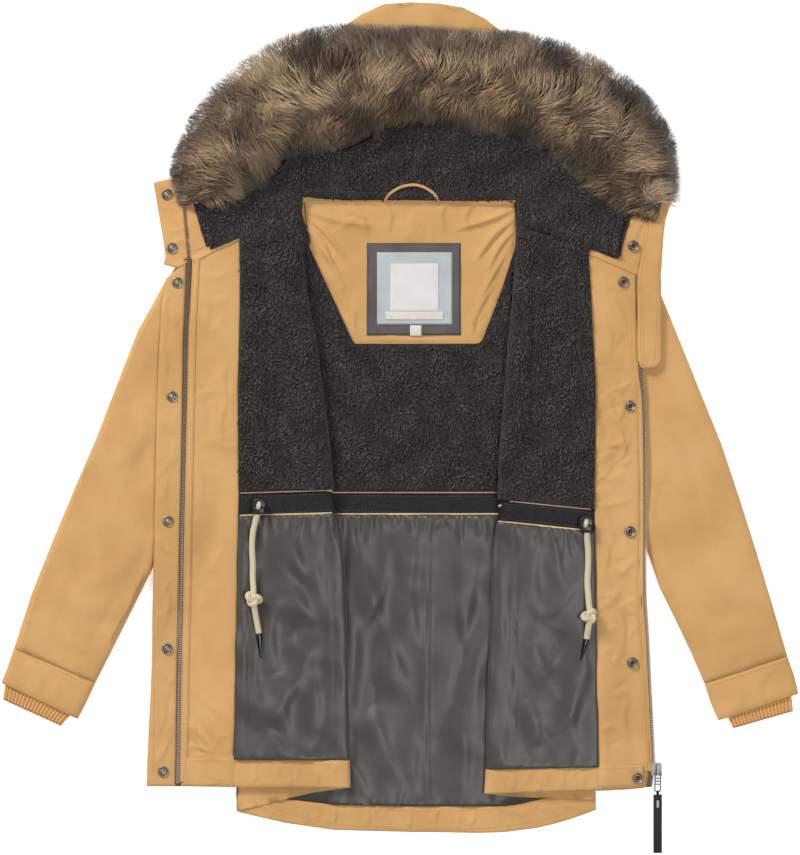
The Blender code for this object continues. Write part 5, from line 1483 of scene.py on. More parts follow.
def zip_teeth(name, line, bed):
    """Teeth along a line, each the same rounded block turned to the line, as one mesh."""
    run = even_points(line, ZIP_PITCH)
    levels = np.array([bed(run[:, 0] + off, run[:, 1], np.nan) for off in (-3.5, -2.0, 0.0, 2.0, 3.5)])
    held = np.isfinite(levels).any(axis=0)
    rows = np.arange(len(run))
    run[:, 2] = np.interp(rows, rows[held], np.nanmax(levels[:, held], axis=0))
    run[:, 2] = evened(run[:, 2], 6)
    bpy.ops.object.select_all(action="DESELECT")
    bpy.ops.mesh.primitive_cube_add(size=1.0)
    tooth = bpy.context.object
    tooth.scale = [size * MM for size in TOOTH]
    bpy.ops.object.transform_apply(location=False, rotation=False, scale=True)
    bevel = tooth.modifiers.new("rounding", "BEVEL")
    bevel.width, bevel.segments, bevel.limit_method = 0.4 * MM, 1, "NONE"
    bpy.ops.object.modifier_apply(modifier=bevel.name)
    corners = np.array([v.co for v in tooth.data.vertices])
    faces = [list(p.vertices) for p in tooth.data.polygons]
    bpy.data.objects.remove(tooth)
    all_corners, all_faces = [], []
    for place, way in zip(run, np.gradient(run, axis=0)):
        turn = math.atan2(way[1], way[0]) - math.pi / 2
        spin = np.array([[math.cos(turn), -math.sin(turn), 0], [math.sin(turn), math.cos(turn), 0], [0, 0, 1]])
        first = len(all_corners)
        all_corners += list(corners @ spin.T + (place + (0, 0, 1.0)) * MM)
        all_faces += [[first + k for k in face] for face in faces]
    mesh = bpy.data.meshes.new(name)
    mesh.from_pydata([tuple(c) for c in all_corners], [], all_faces)
    finished(placed(name, mesh), old_brass)


for side, (line, wide) in ZIPS.items():
    tape = cloth(f"{side}_zip_tape", f"{side}_zip_ribbon", 5.0, under=14.0)
    lifted(tape, lambda x, y: drape(x, y, 121, 30, 0.3))
    middle = even_points(line, 5.0)
    order = np.argsort(middle[:, 1])
    for vert in tape.data.vertices:
        at = float(np.interp(vert.co.y / MM, middle[order, 1], middle[order, 0])) * MM
        vert.co.x = at + (vert.co.x - at) * 0.8
    laid(tape, f"{side}_zip_tape", zip_tape)
    zip_teeth(f"{side}_zip_teeth", line, top_of(tape, f"{side}_facing_cloth", f"{side}_front_cloth"))
zip_teeth("collar_zip_teeth", [(-274.5, 217), (-275, 226), (-277, 250), (-279.5, 275), (-281, 300)],
          top_of("left_collar_cloth", "left_front_cloth", "left_facing_cloth"))


# Turned edges and seams of the camel cloth: plackets beside the zips, the chin guard's upper length
# on the collar, returns of the hem facings, and the neck seam between fronts and hood.
# Half of a strip's section: places across it in widths, and how high each is in thicknesses.
STRIP_SECTION = np.array([(-0.5, 0.0), (-0.47, 0.7), (-0.40, 1.0), (-0.2, 1.0), (0.0, 1.0), (0.2, 1.0),
                          (0.40, 1.0), (0.47, 0.7), (0.5, 0.0)])


def strip_on(name, finish, line, wide, bed, seed, thick=1.0, above=0.3, swell=0.25):
    """A flat strip of cloth, in millimetres, that lies on other pieces along a line. Its two edges are
    turned under, so they are round."""
    run = even_points(line, 3.0)[:, :2]
    way = np.gradient(run, axis=0)
    way /= np.linalg.norm(way, axis=1)[:, None]
    aside = np.stack([-way[:, 1], way[:, 0]], 1)
    widths = np.interp(np.linspace(0, 1, len(run)), np.linspace(0, 1, np.size(wide)), np.ravel(wide))
    plan = run[:, None] + aside[:, None] * widths[:, None, None] * STRIP_SECTION[None, :, :1]
    level = bed(plan[..., 0], plan[..., 1], np.nan).reshape(plan.shape[:2])
    rows = np.arange(len(run))
    for k in range(level.shape[1]):
        known = np.isfinite(level[:, k])
        if known.any():
            level[:, k] = np.interp(rows, rows[known], level[known, k])
    gaps = np.isnan(level)
    level[gaps] = np.broadcast_to(np.nanmax(level, axis=1)[:, None], level.shape)[gaps]
    for k in range(level.shape[1]):
        level[:, k] = evened(level[:, k], 2)
    bumpy = drape(plan[..., 0].ravel(), plan[..., 1].ravel(), seed, 22, swell).reshape(level.shape)
    upper = level + above + thick * STRIP_SECTION[None, :, 1] + bumpy
    lower = level + above - 0.15
    work = bmesh.new()
    tops, feet = [[[work.verts.new((*p * MM, z * MM)) for p, z in zip(row, heights)]
                   for row, heights in zip(plan, level)] for level in (upper, lower)]
    last = len(STRIP_SECTION) - 1
    for a in range(len(run) - 1):
        for k in range(last):
            work.faces.new((tops[a][k], tops[a][k + 1], tops[a + 1][k + 1], tops[a + 1][k]))
            work.faces.new((feet[a][k], feet[a + 1][k], feet[a + 1][k + 1], feet[a][k + 1]))
        work.faces.new((feet[a][0], tops[a][0], tops[a + 1][0], feet[a + 1][0]))
        work.faces.new((feet[a][last], feet[a + 1][last], tops[a + 1][last], tops[a][last]))
    for a in (0, -1):
        for k in range(last):
            work.faces.new((tops[a][k], feet[a][k], feet[a][k + 1], tops[a][k + 1]))
    bmesh.ops.recalc_face_normals(work, faces=work.faces)
    for face in work.faces:
        face.smooth = True
    piece = finished(from_work(name, work), finish)


left_bed = top_of("left_zip_ribbon", "left_facing_cloth", "left_front_cloth", "left_storm_flap_cloth",
                  "left_collar_cloth")
right_bed = top_of("right_zip_ribbon", "right_facing_cloth", "right_front_cloth", "right_collar_cloth")
zip_left, zip_right = ZIPS["left"][0], ZIPS["right"][0]
strip_on("left_placket_inner", camel, [(x + 7.6, y) for x, y in zip_left], 10.4, left_bed,
         seed=131)
strip_on("right_placket_inner", camel, [(x - 7.8, y) for x, y in zip_right], 10.6, right_bed,
         seed=133)

# The chin guard's upper ply is a turned strip of the same width. It runs on over the collar, and its
# lower end is round.
low, high = [np.array(corner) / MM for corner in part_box("chin_guard")]
guard_top = top_of("chin_guard_cloth")
guard_level = float(np.nanmax(guard_top(np.array([320.0, 325.0, 330.0]), np.full(3, high[1] - 6.0), np.nan)))


def guard_bed(x, y, default):
    """What the upper ply lies on: the guard, and past its end a slope down to the collar. It has no
    open place, so it needs no default."""
    on_guard = guard_top(x, y, np.nan)
    past = guard_level - 0.06 * np.clip(np.ravel(y) - high[1], 0, 200)
    over_guard = np.where(np.isfinite(on_guard), on_guard, past) - 1.2
    return np.maximum(np.nan_to_num(right_bed(x, y, np.nan), nan=1.5), over_guard)


middle = (low[0] + high[0]) / 2
guard_line = even_points([(middle, low[1] + 1.2), (middle, high[1] - 60), (middle, high[1] - 2),
                          (middle + 0.5, high[1] + 8), (middle + 2.5, 215), (middle + 5, 236),
                          (middle + 8.5, 260), (middle + 14, 284), (middle + 18, 296)], 2.0)
from_end = np.linspace(0, 1, len(guard_line)) * length_of(guard_line)
across = high[0] - low[0]
straight = np.interp(guard_line[:, 1], (low[1], high[1], 260, 296), (across - 1.6, across - 1.0, 23, 20))
rounded = 2 * np.sqrt(np.maximum((across / 2) ** 2 - np.maximum(across / 2 - from_end - 0.5, 0) ** 2, 16))
strip_on("chin_guard_upper_cloth", camel, guard_line[:, :2], np.minimum(straight, rounded), guard_bed,
         thick=1.3, above=0.5, seed=134, swell=0.5)

# The hem facings of the fronts run on under the zips, and their turned tops lie over the facings.
strip_on("left_hem_return_cloth", camel, [(-281, -447), (-262, -448), (-240, -446), (-222, -446), (-205, -444)],
         [36, 36, 36, 37, 38], left_bed, above=0.4, seed=135, swell=1.2)
strip_on("right_hem_return_cloth", camel, [(249, -456), (262, -456), (282, -455.5), (298, -455), (317, -454)],
         [33, 33, 32, 31, 30], right_bed, above=0.4, seed=136, swell=1.0)

# Neck seams: where each front meets the collar, a corded fold of the outer cloth.
NECK_SEAMS = {
    "left_neck_welt": ([(-270, 217.5), (-258, 225), (-240, 234.5), (-222, 242), (-208, 248)],
                       10.2, left_bed, 137),
    "left_collar_edge": ([(-306, 217), (-298, 214.8), (-291, 213), (-285, 213.8), (-279.5, 216)],
                         11.0, left_bed, 141),
    "right_neck_welt": ([(247, 229), (262, 223), (280, 215), (296, 208), (310, 202)], 10.2, right_bed, 138),
}
for name, (line, wide, bed, seed) in NECK_SEAMS.items():
    strip_on(name, camel, line, wide, bed, thick=1.1, above=0.5,
             seed=seed)


# Where the hood's fleece meets the fronts' and the yoke, its pile runs over the seams.
fleece_bed = top_of("left_fleece_pile", "right_fleece_pile", "hood_fleece_pile", "left_collar_cloth",
                    "right_collar_cloth", "back_yoke_cloth", "back_fleece_pile", "left_facing_cloth",
                    "right_facing_cloth", "left_front_cloth", "right_front_cloth")
strip_on("neck_binding", camel, [(-128, 299.5), (-60, 297), (0, 296.5), (60, 296.5), (110, 295.5), (150, 295.5)],
         14.0, fleece_bed, thick=0.4, above=0.2, seed=140)
SEAM_PILES = {
    "left_neck_pile": ([(-207, 242), (-190, 246), (-170, 251), (-150, 256), (-134, 261)],
                       [20, 22, 22, 22, 20]),
    "left_corner_pile": ([(-127, 226), (-127, 246), (-131, 262), (-135, 280), (-132, 300)],
                         [16, 20, 17, 15, 13]),
    "left_collar_pile": ([(-246, 236), (-251, 254), (-257, 274), (-262, 292)], [11, 13, 13, 12]),
    "yoke_top_pile": ([(-128, 306), (-100, 303), (-60, 301), (0, 301), (60, 300), (110, 300), (150, 301)],
                      [11, 11, 10.5, 10.5, 10.5, 11, 11]),
    "right_corner_pile": ([(158, 246), (159, 262), (158, 280), (155, 298)], [12, 17, 17, 14]),
    "right_neck_pile": ([(160, 264), (180, 258), (205, 249), (228, 240), (247, 233)], [20, 22, 22, 22, 20]),
    "right_collar_pile": ([(281, 222), (283, 240), (288, 262), (294, 284)], [12, 15, 15, 13]),
}
for name, (line, wide) in SEAM_PILES.items():
    strip_on(name, sherpa, line, wide, fleece_bed, thick=1.6, above=0.4, seed=139,
             swell=1.0)


# Snap fasteners, 15 mm. The wearer's right front has the studs: a dished cap with a raised rim
# and a ball in its middle. The other front has the sockets: a rim round a dark spring hole.
antique_brass, shader = new_finish("brushed antique brass")
place = put(antique_brass, "TexCoord").outputs["Object"]
patina = put(antique_brass, "TexNoise", {"Vector": place, "Scale": 300.0, "Detail": 4.0, "Roughness": 0.65})
feed(shader, {"Base Color": put(antique_brass, "MixRGB", {
    "Fac": put(antique_brass, "MapRange", {"Value": patina, "From Min": 0.35, "From Max": 0.7}),
    "Color1": linear("#7E6D5A"), "Color2": linear("#B9AB96")})})
feed(shader, {"Roughness": put(antique_brass, "MapRange", {
    "Value": patina, "To Min": 0.34, "To Max": 0.55})})
feed(shader, {"Metallic": 1.0})
dark_brass, shader = new_finish("oxidised brass")
feed(shader, {"Base Color": put(dark_brass, "MixRGB", {
    "Fac": put(dark_brass, "TexNoise", {"Vector": put(dark_brass, "TexCoord").outputs["Object"], "Scale": 500.0}),
    "Color1": linear("#1F1812"), "Color2": linear("#4A3C2E")})})
feed(shader, {"Metallic": 0.7, "Roughness": 0.5})


SPIN_STEPS = 40


def turned_part(name, profile, finishes):
    """A solid of revolution made with Spin from (radius, height, finish number) points, in mm."""
    bpy.ops.object.select_all(action="DESELECT")
    mesh = bpy.data.meshes.new(name)
    mesh.from_pydata([(r * MM, 0.0, z * MM) for r, z, _ in profile],
                     [(k, k + 1) for k in range(len(profile) - 1)], [])
    piece = placed(name, mesh)
    bpy.context.view_layer.objects.active = piece
    piece.select_set(True)
    for finish in finishes:
        piece.data.materials.append(finish)
    bpy.ops.object.mode_set(mode="EDIT")
    bpy.ops.mesh.select_all(action="SELECT")
    bpy.ops.mesh.spin(steps=SPIN_STEPS, angle=2 * math.pi, center=(0, 0, 0), axis=(0, 0, 1))
    bpy.ops.mesh.select_all(action="SELECT")
    bpy.ops.mesh.remove_doubles(threshold=1e-6)
    bpy.ops.mesh.normals_make_consistent(inside=False)
    bpy.ops.object.mode_set(mode="OBJECT")
    radii, heights, _ = np.array(profile, float).T
    for face in piece.data.polygons:
        r = math.hypot(face.center.x, face.center.y) / MM
        z = face.center.z / MM
        spans = [(abs((radii[k] + radii[k + 1]) / 2 - r) + abs((heights[k] + heights[k + 1]) / 2 - z), k)
                 for k in range(len(profile) - 1)]
        face.material_index = profile[min(spans)[1]][2]
        face.use_smooth = True
    bpy.ops.object.shade_smooth_by_angle(angle=math.radians(50))
    return piece


STUD = [(0, 0, 0), (5.4, 0, 0), (7.1, 0.15, 0), (7.5, 0.5, 0), (7.45, 1.0, 0), (6.9, 1.5, 0), (6.2, 1.55, 0),
        (5.75, 1.2, 1), (5.2, 0.95, 1), (4.5, 0.95, 0), (3.6, 1.0, 0), (3.1, 1.15, 1), (2.8, 1.7, 0),
        (2.75, 2.4, 0),
        (2.45, 2.85, 0), (1.6, 3.05, 0), (0.9, 2.95, 0), (0, 2.8, 0)]
SOCKET = [(0, 0, 0), (5.4, 0, 0), (7.1, 0.15, 0), (7.5, 0.5, 0), (7.5, 1.2, 0), (7.1, 1.8, 0), (6.5, 2.0, 0),
          (5.9, 1.75, 0), (5.5, 1.35, 1), (5.0, 1.3, 1), (4.5, 1.7, 0), (3.9, 1.95, 0), (3.3, 1.8, 0),
          (3.0, 1.2, 1),
          (2.8, 0.8, 1), (1.6, 0.75, 1), (0, 0.75, 1)]
SNAPS = {"left": (STUD, 7), "right": (SOCKET, 6)}
for side, (profile, count) in SNAPS.items():
    pattern = turned_part(f"{side}_snap_pattern", profile, (antique_brass, dark_brass))
    tall = max(z for _, z, _ in profile)
    round_it = top_of(*[f"{side}_{part}_cloth" for part in ("front", "facing", "collar", "hem_return")],
                      *(["left_storm_flap_cloth"] if side == "left" else []))
    for number in range(1, count + 1):
        node = bpy.data.objects[f"{side}_snap_{number}"]
        spots = np.array([node.matrix_world @ v.co for v in node.data.vertices]) / MM
        low, high = spots.min(axis=0), spots.max(axis=0)
        middle = (low + high) / 2
        snap = placed(f"{side}_snap_{number}_metal", pattern.data.copy())
        snap.data.name = snap.name
        fit = Matrix.Diagonal((*(high - low) / (15.0, 15.0, tall), 1.0))
        spots = middle[:2] + 5.0 * np.array([(1, 0), (-1, 0), (0, 1), (0, -1), (0, 0)])
        base = max(low[2], float(round_it(spots[:, 0], spots[:, 1], low[2]).max()) - 0.4)
        snap.data.transform(Matrix.Translation((middle[0] * MM, middle[1] * MM, base * MM)) @ fit
                            @ Euler((0, 0, number * 1.3)).to_matrix().to_4x4())
        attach(snap, "parka")
        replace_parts(snap, node.name)
    bpy.data.objects.remove(pattern)


# Topstitching: cotton-wrapped polyester thread in the cloth's own camel, in lines beside every turned
# edge. Each stitch is a short thread that dips into the cloth at both ends. The real 2.5 mm stitches
# are drawn 3.2 mm long on every 4.4 mm so that they show.
threads = {}
for colour, dark, light in (("camel", "#A87C45", "#D3AA72"), ("charcoal", "#2F2D2C", "#716D69"),
                            ("cream", "#B7B3A9", "#EFECE4")):
    threads[colour], shader = new_finish(f"{colour} core-spun sewing thread")
    twist = put(threads[colour], "TexWave", {"Vector": put(threads[colour], "TexCoord").outputs["Object"],
                                             "Scale": 0.314 / 0.0009, "Distortion": 1.0},
                bands_direction="DIAGONAL")
    feed(shader, {"Roughness": 0.6, "Base Color": put(threads[colour], "MixRGB", {
        "Fac": twist, "Color1": linear(dark), "Color2": linear(light)})})


# A stitch from end to end: its thread's places along it, and how high each rises, in thicknesses.
STITCH_PARTS = np.array([0.0, 0.18, 0.5, 0.82, 1.0])
STITCH_RISE = np.array([-0.7, 0.2, 0.5, 0.2, -0.7])


def stitched(name, colour, beds, lines, pitch=4.4, thick=0.42):
    """Stitches along lines of (x, y) in millimetres, as one mesh of short four-sided threads."""
    bed = top_of(*beds)
    corners, faces = [], []
    for line in lines:
        run = even_points(line, pitch / 4)
        level = bed(run[:, 0], run[:, 1], np.nan)
        known = np.flatnonzero(np.isfinite(level))
        if len(known) < 8:
            continue
        span = np.arange(known[0], known[-1] + 1)
        run = run[span]
        run[:, 2] = np.interp(span, known, level[known])
        for first in range(0, len(run) - 4, 4):
            near, far = run[first], run[first + 3]
            stitch = near + STITCH_PARTS[:, None] * (far - near)
            stitch[:, :2] = stitch[2, :2] + (stitch[:, :2] - stitch[2, :2]) * 0.74 / 0.75
            stitch[:, 2] += 0.1 + thick * STITCH_RISE
            way = stitch[4] - stitch[0]
            way /= np.linalg.norm(way) + 1e-9
            flat = np.cross(way, (0, 0, 1))
            flat /= np.linalg.norm(flat) + 1e-9
            up = np.cross(flat, way)
            start = len(corners)
            for place in (stitch[1], stitch[3]):
                for k in range(4):
                    turn = math.pi * (k / 2 + 0.25)
                    corners.append((place + thick * (flat * math.cos(turn) + up * math.sin(turn) * 0.8)) * MM)
            corners.append(stitch[0] * MM)
            corners.append(stitch[4] * MM)
            for k in range(4):
                a, b = start + k, start + (k + 1) % 4
                faces += [(a, b, b + 4), (a, b + 4, a + 4), (start + 8, b, a), (start + 9, a + 4, b + 4)]
    work = bmesh.new()
    verts = [work.verts.new(corner) for corner in corners]
    for face in faces:
        work.faces.new([verts[k] for k in face]).smooth = True
    bmesh.ops.recalc_face_normals(work, faces=work.faces)
    finished(from_work(name, work), threads[colour])


# The pieces that the stitches of each front lie on.
SEWN = {
    "left": ["left_facing_cloth", "left_front_cloth", "left_storm_flap_cloth", "left_placket_inner",
             "left_hem_cloth", "left_hem_return_cloth", "left_collar_cloth", "left_neck_welt"],
    "right": ["right_facing_cloth", "right_front_cloth", "right_placket_inner", "chin_guard_cloth",
              "chin_guard_upper_cloth", "right_hem_cloth", "right_hem_return_cloth", "right_collar_cloth",
              "right_neck_welt"],
}
stitched("left_front_stitches", "camel", SEWN["left"], [
    [(x + 10.6, y) for x, y in zip_left], [(x + 4.6, y) for x, y in zip_left],
    [(-314, 214), (-316.5, 100), (-318, 0), (-318.6, -134), (-320, -300), (-321, -455)],
    [(-270, -433), (-240, -433), (-209, -434), (-150, -436), (-88, -438)],
    [(-320, -464), (-270, -465), (-209, -464), (-150, -464), (-90, -466)],
    [(-315, 294), (-312, 264), (-306, 228)], [(-304, 226), (-276, 227.5), (-240, 240.5), (-212, 252)]])
stitched("right_front_stitches", "camel", SEWN["right"], [
    [(x - 10.4, y) for x, y in zip_right], [(x - 4.6, y) for x, y in zip_right],
    [(311.5, 184), (311.8, 140), (312.5, 100), (316, 80), (322, 74.5), (329, 78), (334, 90), (336.5, 130),
     (337, 184)],
    [(314.8, 184), (315.2, 140), (316, 104), (318.5, 84), (323, 78.8), (327.5, 82), (331, 94), (333, 130),
     (333.4, 184)],
    [(312, 186), (313, 200), (316, 220), (319, 240), (323, 262), (328, 290)],
    [(334, 186), (335, 200), (337, 220), (340, 240), (343, 262), (347, 288)],
    [(252, -443.5), (280, -443), (314, -441.5)], [(112, -445), (160, -444.5), (210, -444), (250, -443.5)],
    [(256, 247), (282, 234.5), (312, 219.5), (322, 212)]])
hem_top = [(-90, -484), (-40, -494), (0, -498), (39, -499), (90, -497), (140, -490), (200, -474)]
hem_foot = [(-190, -484), (-140, -504), (-80, -516), (-20, -521), (39, -523), (110, -520), (180, -508),
            (230, -488)]
stitched("back_stitches", "camel", ["back_yoke_cloth", "back_hem_cloth"], [
    [(-59.5, 112.5), (0, 112.6), (60, 112.8), (103, 112.6)],
    [(-122, 240), (-105, 210), (-90, 180), (-75, 143), (-62, 116)],
    [(150, 240), (144, 210), (131, 181), (115, 142), (104, 116)],
    [(-118, 294), (-60, 294.5), (20, 295.5), (90, 294.5), (146, 293)],
    *[[(x, y - float(hem_drop(np.float64(x), y))) for x, y in line] for line in (hem_top, hem_foot)]])
for side in ("left", "right"):
    cuff = bpy.data.objects[f"{side}_cuff_cloth"]
    spots = np.array([v.co[:2] for v in cuff.data.vertices]) / MM
    middle = spots.mean(axis=0)
    ways = np.linalg.svd(spots - middle, full_matrices=False)[2]
    along, across = (spots - middle) @ ways[0], (spots - middle) @ ways[1]
    lines = []
    for far in (np.percentile(across, 1) + 5.0, np.percentile(across, 99) - 5.0):
        near = np.abs(across - far) < 6.0
        ends = np.linspace(along[near].min() + 3, along[near].max() - 3, 5)
        lines.append([tuple(middle + a * ways[0] + far * ways[1]) for a in ends])
    stitched(f"{side}_cuff_stitches", "camel", [cuff], lines)
stitched("label_stitches", "cream", ["label_panel_cloth", "label_cream_strip", "label_frame_cloth"], [
    [(-27.5, 225.5), (0, 225.6), (65.5, 225.5)], [(-27.5, 136.5), (10, 136.4), (65.5, 136.5)],
    [(-27.6, 138), (-27.6, 180), (-27.6, 224)], [(65.6, 138), (65.6, 180), (65.6, 224)],
    [(-17.6, 142), (-17.6, 146), (-17.6, 150)], [(54.6, 142), (54.6, 146), (54.6, 150)]],
    pitch=2.8, thick=0.26)
stitched("label_frame_stitches", "charcoal", ["label_frame_cloth"], [
    [(-40.6, 237.6), (0, 237.7), (76.5, 237.6)], [(-40.6, 122.6), (10, 122.5), (76.5, 122.6)],
    [(-40.7, 124), (-40.7, 180), (-40.7, 236)], [(76.6, 124), (76.6, 180), (76.6, 236)]],
    pitch=3.4, thick=0.3)
stitched("lining_stitches", "charcoal", ["back_lining_cloth", "left_lining_cloth", "right_lining_cloth"], [
    [(42.2, -122), (41.2, -250), (40.2, -380), (42.2, -486)],
    [(35.6, -122), (34.6, -250), (33.6, -380), (35.8, -486)],
    [(-194, -122), (-196, -220), (-197, -330), (-198, -424)],
    [(-93, -118), (-90, -200), (-88, -320), (-87, -424)],
    [(149, -132), (148, -220), (147, -330), (147, -434)]], thick=0.34)
stitched("tape_stitches", "charcoal", ["back_waist_tape", "left_waist_tape", "right_waist_tape"], [
    [(-80, -88.6), (0, -89.4), (60, -89.6), (122, -89.4)],
    [(-80, -107.4), (0, -110.4), (60, -111.6), (122, -112)],
    [(-206, -90.6), (-150, -88.4), (-92, -85.8)], [(-206, -112), (-150, -110.2), (-88, -107.4)],
    [(131, -99), (190, -104.2), (249, -110.6)], [(131, -118.6), (190, -124.6), (249, -131)]],
    pitch=4.2, thick=0.32)


# Curls of the fleece: short bent tufts over the pile. They lie downwards in streaks, and at the
# panels' edges they hang over the facings.
curled_pile, shader = new_finish("curled polyester pile in charcoal")
tone = put(curled_pile, "VertexColor", layer_name="Tone")
speck = put(curled_pile, "TexNoise", {"Vector": put(curled_pile, "TexCoord").outputs["Object"], "Scale": 900.0})
feed(shader, {"Base Color": put(curled_pile, "MixRGB", {
    "Fac": put(curled_pile, "MapRange", {"Value": speck, "To Max": 0.35}), "Color1": tone.outputs["Color"],
    "Color2": linear("#1B1819")})})
feed(shader, {"Roughness": 0.92, "Specular IOR Level": 0.2})


def tufts(name, bed, box, count, seed, length=7.0, avoid=None):
    """Curls rooted at random places of a box wherever they meet the bed."""
    pick = np.random.default_rng(seed)
    root = np.stack([pick.uniform(box[0], box[2], count), pick.uniform(box[1], box[3], count)], 1)
    level = bed(root[:, 0], root[:, 1], np.nan)
    held = np.isfinite(level)
    if avoid is not None:
        held &= ~avoid(root[:, 0], root[:, 1])
    root, level = root[held], level[held]
    count = len(root)
    swirl = soft_noise(root[:, 0], root[:, 1], seed + 1, 46) - 0.5
    turn = np.radians(-90 + 110 * swirl + pick.normal(0, 24, count))
    heading = np.stack([np.cos(turn), np.sin(turn)], 1)
    bend = np.stack([heading[:, 1], -heading[:, 0]], 1) * pick.normal(0, 0.34, count)[:, None]
    run = length * pick.uniform(0.6, 1.3, count)
    parts = np.array([0.0, 0.5, 1.0])
    plan = curved(root, heading, bend, run, parts)
    after = bed(plan[:, 2, 0], plan[:, 2, 1], np.nan)
    over = ~np.isfinite(after)
    plan[over] = root[over, None] + (plan[over] - root[over, None]) * 0.42
    after = np.where(np.isfinite(after), np.maximum(after, level - 3.0), level - 1.0)
    base = level[:, None] + (after - level)[:, None] * parts[None]
    rise = pick.uniform(0.7, 1.5, count)[:, None] * np.array([-0.4, 1.8, 0.2])[None]
    line = np.concatenate([plan, (base + rise)[..., None]], 2)
    sizes = (0.9 * pick.uniform(0.7, 1.3, count))[:, None] * np.array([0.85, 1.0, 0.0])[None]
    first = mixed("#171515", "#2A2627", pick.random(count))
    second = mixed("#3A3636", "#514C4B", pick.random(count))
    third = mixed("#635E5C", "#918A87", pick.random(count) ** 2)
    patch = 0.72 + 0.5 * soft_noise(root[:, 0], root[:, 1], seed + 2, 38)
    colours = np.stack([first, mixed(second, third, np.full(count, 0.3)), third], 1) * patch[:, None, None]
    strands(name, line, sizes, colours, curled_pile)


over_back = top_of("back_yoke_cloth", "left_fleece_pile", "right_fleece_pile")
tufts("back_fleece_curls", top_of("back_fleece_pile"), (-140, -78, 175, 262), 9000, 501,
      avoid=lambda x, y: np.isfinite(over_back(x, y, np.nan)))
tufts("left_fleece_curls", top_of("left_fleece_pile"), (-212, -78, -98, 262), 4000, 502)
tufts("right_fleece_curls", top_of("right_fleece_pile"), (125, -96, 256, 262), 4200, 503,
      avoid=lambda x, y: y < -84 - (x - 129) * 0.1)
tufts("hood_fleece_curls", top_of("hood_fleece_pile"), (-265, 225, 300, 400), 7800, 504)
tufts("seam_curls", top_of(*SEAM_PILES), (-270, 215, 300, 310), 5800, 505, length=5.5)


# Zip slider and pull: a die-cast slider with a raised bridge, polished where the pull rubs it. The
# pull is a flat link with a slot, and a black moulded tape with a sunk slot is folded through it.
bright_zinc, shader = new_finish("polished die-cast zinc")
place = put(bright_zinc, "TexCoord").outputs["Object"]
scuffs = put(bright_zinc, "TexNoise", {"Vector": place, "Scale": 700.0, "Detail": 5.0, "Roughness": 0.7})
cast = put(bright_zinc, "TexNoise", {"Vector": place, "Scale": 90.0, "Detail": 2.0})
feed(shader, {"Base Color": put(bright_zinc, "MixRGB", {
    "Fac": cast, "Color1": linear("#737371"), "Color2": linear("#9C9C99")})})
feed(shader, {"Roughness": put(bright_zinc, "MapRange", {
    "Value": scuffs, "From Min": 0.3, "From Max": 0.75, "To Min": 0.40, "To Max": 0.62})})
feed(shader, {"Normal": put(bright_zinc, "Bump", {
    "Height": scuffs, "Distance": 0.0001, "Strength": 0.4})})
feed(shader, {"Metallic": 1.0})
for node in ("zip_slider", "zip_pull"):
    for slot in frame["nodes"][node].material_slots:
        slot.material = bright_zinc

soft_pvc, shader = new_finish("moulded black soft PVC")
place = put(soft_pvc, "TexCoord").outputs["Object"]
grain = put(soft_pvc, "TexNoise", {"Vector": place, "Scale": 1200.0, "Detail": 3.0})
ribs = put(soft_pvc, "TexWave", {"Vector": place, "Scale": 0.314 / 0.0024, "Distortion": 0.0},
           bands_direction="Y")
feed(shader, {"Base Color": put(soft_pvc, "MixRGB", {
    "Color1": linear("#151516"), "Color2": linear("#262627"),
    "Fac": put(soft_pvc, "TexNoise", {"Vector": place, "Scale": 260.0, "Detail": 4.0})})})
feed(shader, {"Normal": put(soft_pvc, "Bump", {
    "Height": grain, "Distance": 0.0003, "Strength": 0.6,
    "Normal": put(soft_pvc, "Bump", {"Height": ribs, "Distance": 0.0002, "Strength": 0.5})})})
feed(shader, {"Roughness": 0.55, "Specular IOR Level": 0.25})

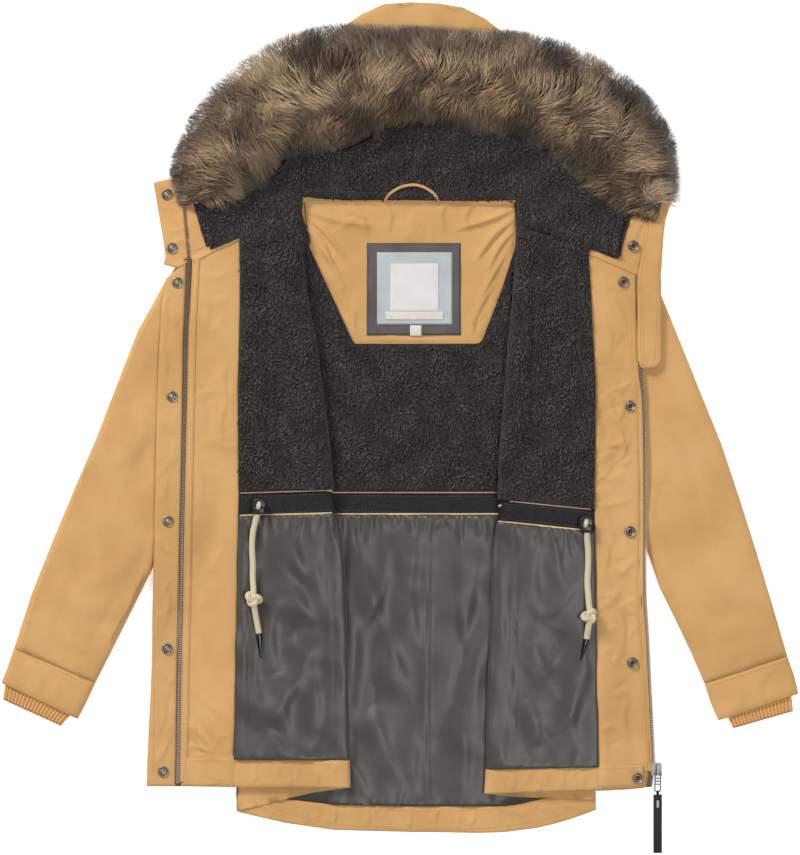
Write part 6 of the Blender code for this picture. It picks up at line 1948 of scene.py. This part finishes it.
# The tape as it lies: its sunk slot is in the half near the link, with a bright insert at its bottom.
low, high = [np.array(corner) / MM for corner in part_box("zip_pull_tape")]
NECK = high[1] - 6.5
SLOT_LOW, SLOT_HIGH, SLOT_HALF = -497.0, -484.0, 2.6
middle = (low[0] + high[0]) / 2
bpy.ops.object.select_all(action="DESELECT")
bpy.ops.mesh.primitive_cube_add(size=1.0)
strap = bpy.context.object
strap.name = strap.data.name = "pull_strap"
strap.data.transform(Matrix.Translation((middle * MM, (low[1] + NECK) / 2 * MM, 2.0 * MM))
                     @ Matrix.Diagonal(((high[0] - low[0]) * MM, (NECK - low[1]) * MM, 2.4 * MM, 1.0)))
work = bmesh.new()
work.from_mesh(strap.data)
for point, normal in (((0, SLOT_LOW, 0), (0, 1, 0)), ((0, SLOT_HIGH, 0), (0, 1, 0)),
                      ((middle - SLOT_HALF, 0, 0), (1, 0, 0)), ((middle + SLOT_HALF, 0, 0), (1, 0, 0))):
    bmesh.ops.bisect_plane(work, geom=work.verts[:] + work.edges[:] + work.faces[:],
                           plane_co=Vector(point) * MM, plane_no=normal)
work.normal_update()
sunk = []
for face in work.faces:
    spot = face.calc_center_median() / MM
    if face.normal.z > 0.9 and abs(spot.x - middle) < SLOT_HALF and SLOT_LOW < spot.y < SLOT_HIGH:
        sunk.append(face)
pushed = bmesh.ops.extrude_face_region(work, geom=sunk)
bmesh.ops.delete(work, geom=sunk, context="FACES")
bmesh.ops.translate(work, verts=[v for v in pushed["geom"] if isinstance(v, bmesh.types.BMVert)],
                    vec=(0, 0, -1.3 * MM))
bmesh.ops.recalc_face_normals(work, faces=work.faces)
work.to_mesh(strap.data)
work.free()
alone(strap)
soft_edge = strap.modifiers.new("moulded edges", "BEVEL")
soft_edge.width, soft_edge.segments, soft_edge.limit_method = 0.35 * MM, 2, "ANGLE"
bpy.ops.object.modifier_apply(modifier=soft_edge.name)
bpy.ops.object.shade_smooth_by_angle(angle=math.radians(40))
strap.data.materials.append(soft_pvc)
fold = shaped("pull_strap_fold", soft_pvc, (3.4, 7.4, 3.4), (middle, high[1] - 4.4, 4.2), turn=(38, 0, 0),
              round_by=0.9)
insert = shaped("pull_strap_insert", bright_zinc, (3.8, 10.4, 0.5), (middle, -490.4, 2.2), round_by=0.15)
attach(insert, "pull")
strap = joined("pull_strap", strap, fold)
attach(strap, "pull")
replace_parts(strap, "zip_pull_tape")

# The link is cast with three cross ribs between its sides.
low, high = [np.array(corner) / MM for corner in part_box("zip_pull")]
ribs = [shaped(f"rib{k}", bright_zinc, (high[0] - low[0] - 1.0, 1.6, 1.6), ((low[0] + high[0]) / 2, y, z),
               round_by=0.4)
        for k, (y, z) in enumerate(((-456.5, 8.2), (-460.5, 7.0), (-464.5, 5.7)))]
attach(joined("pull_link_ribs", *ribs), "pull")
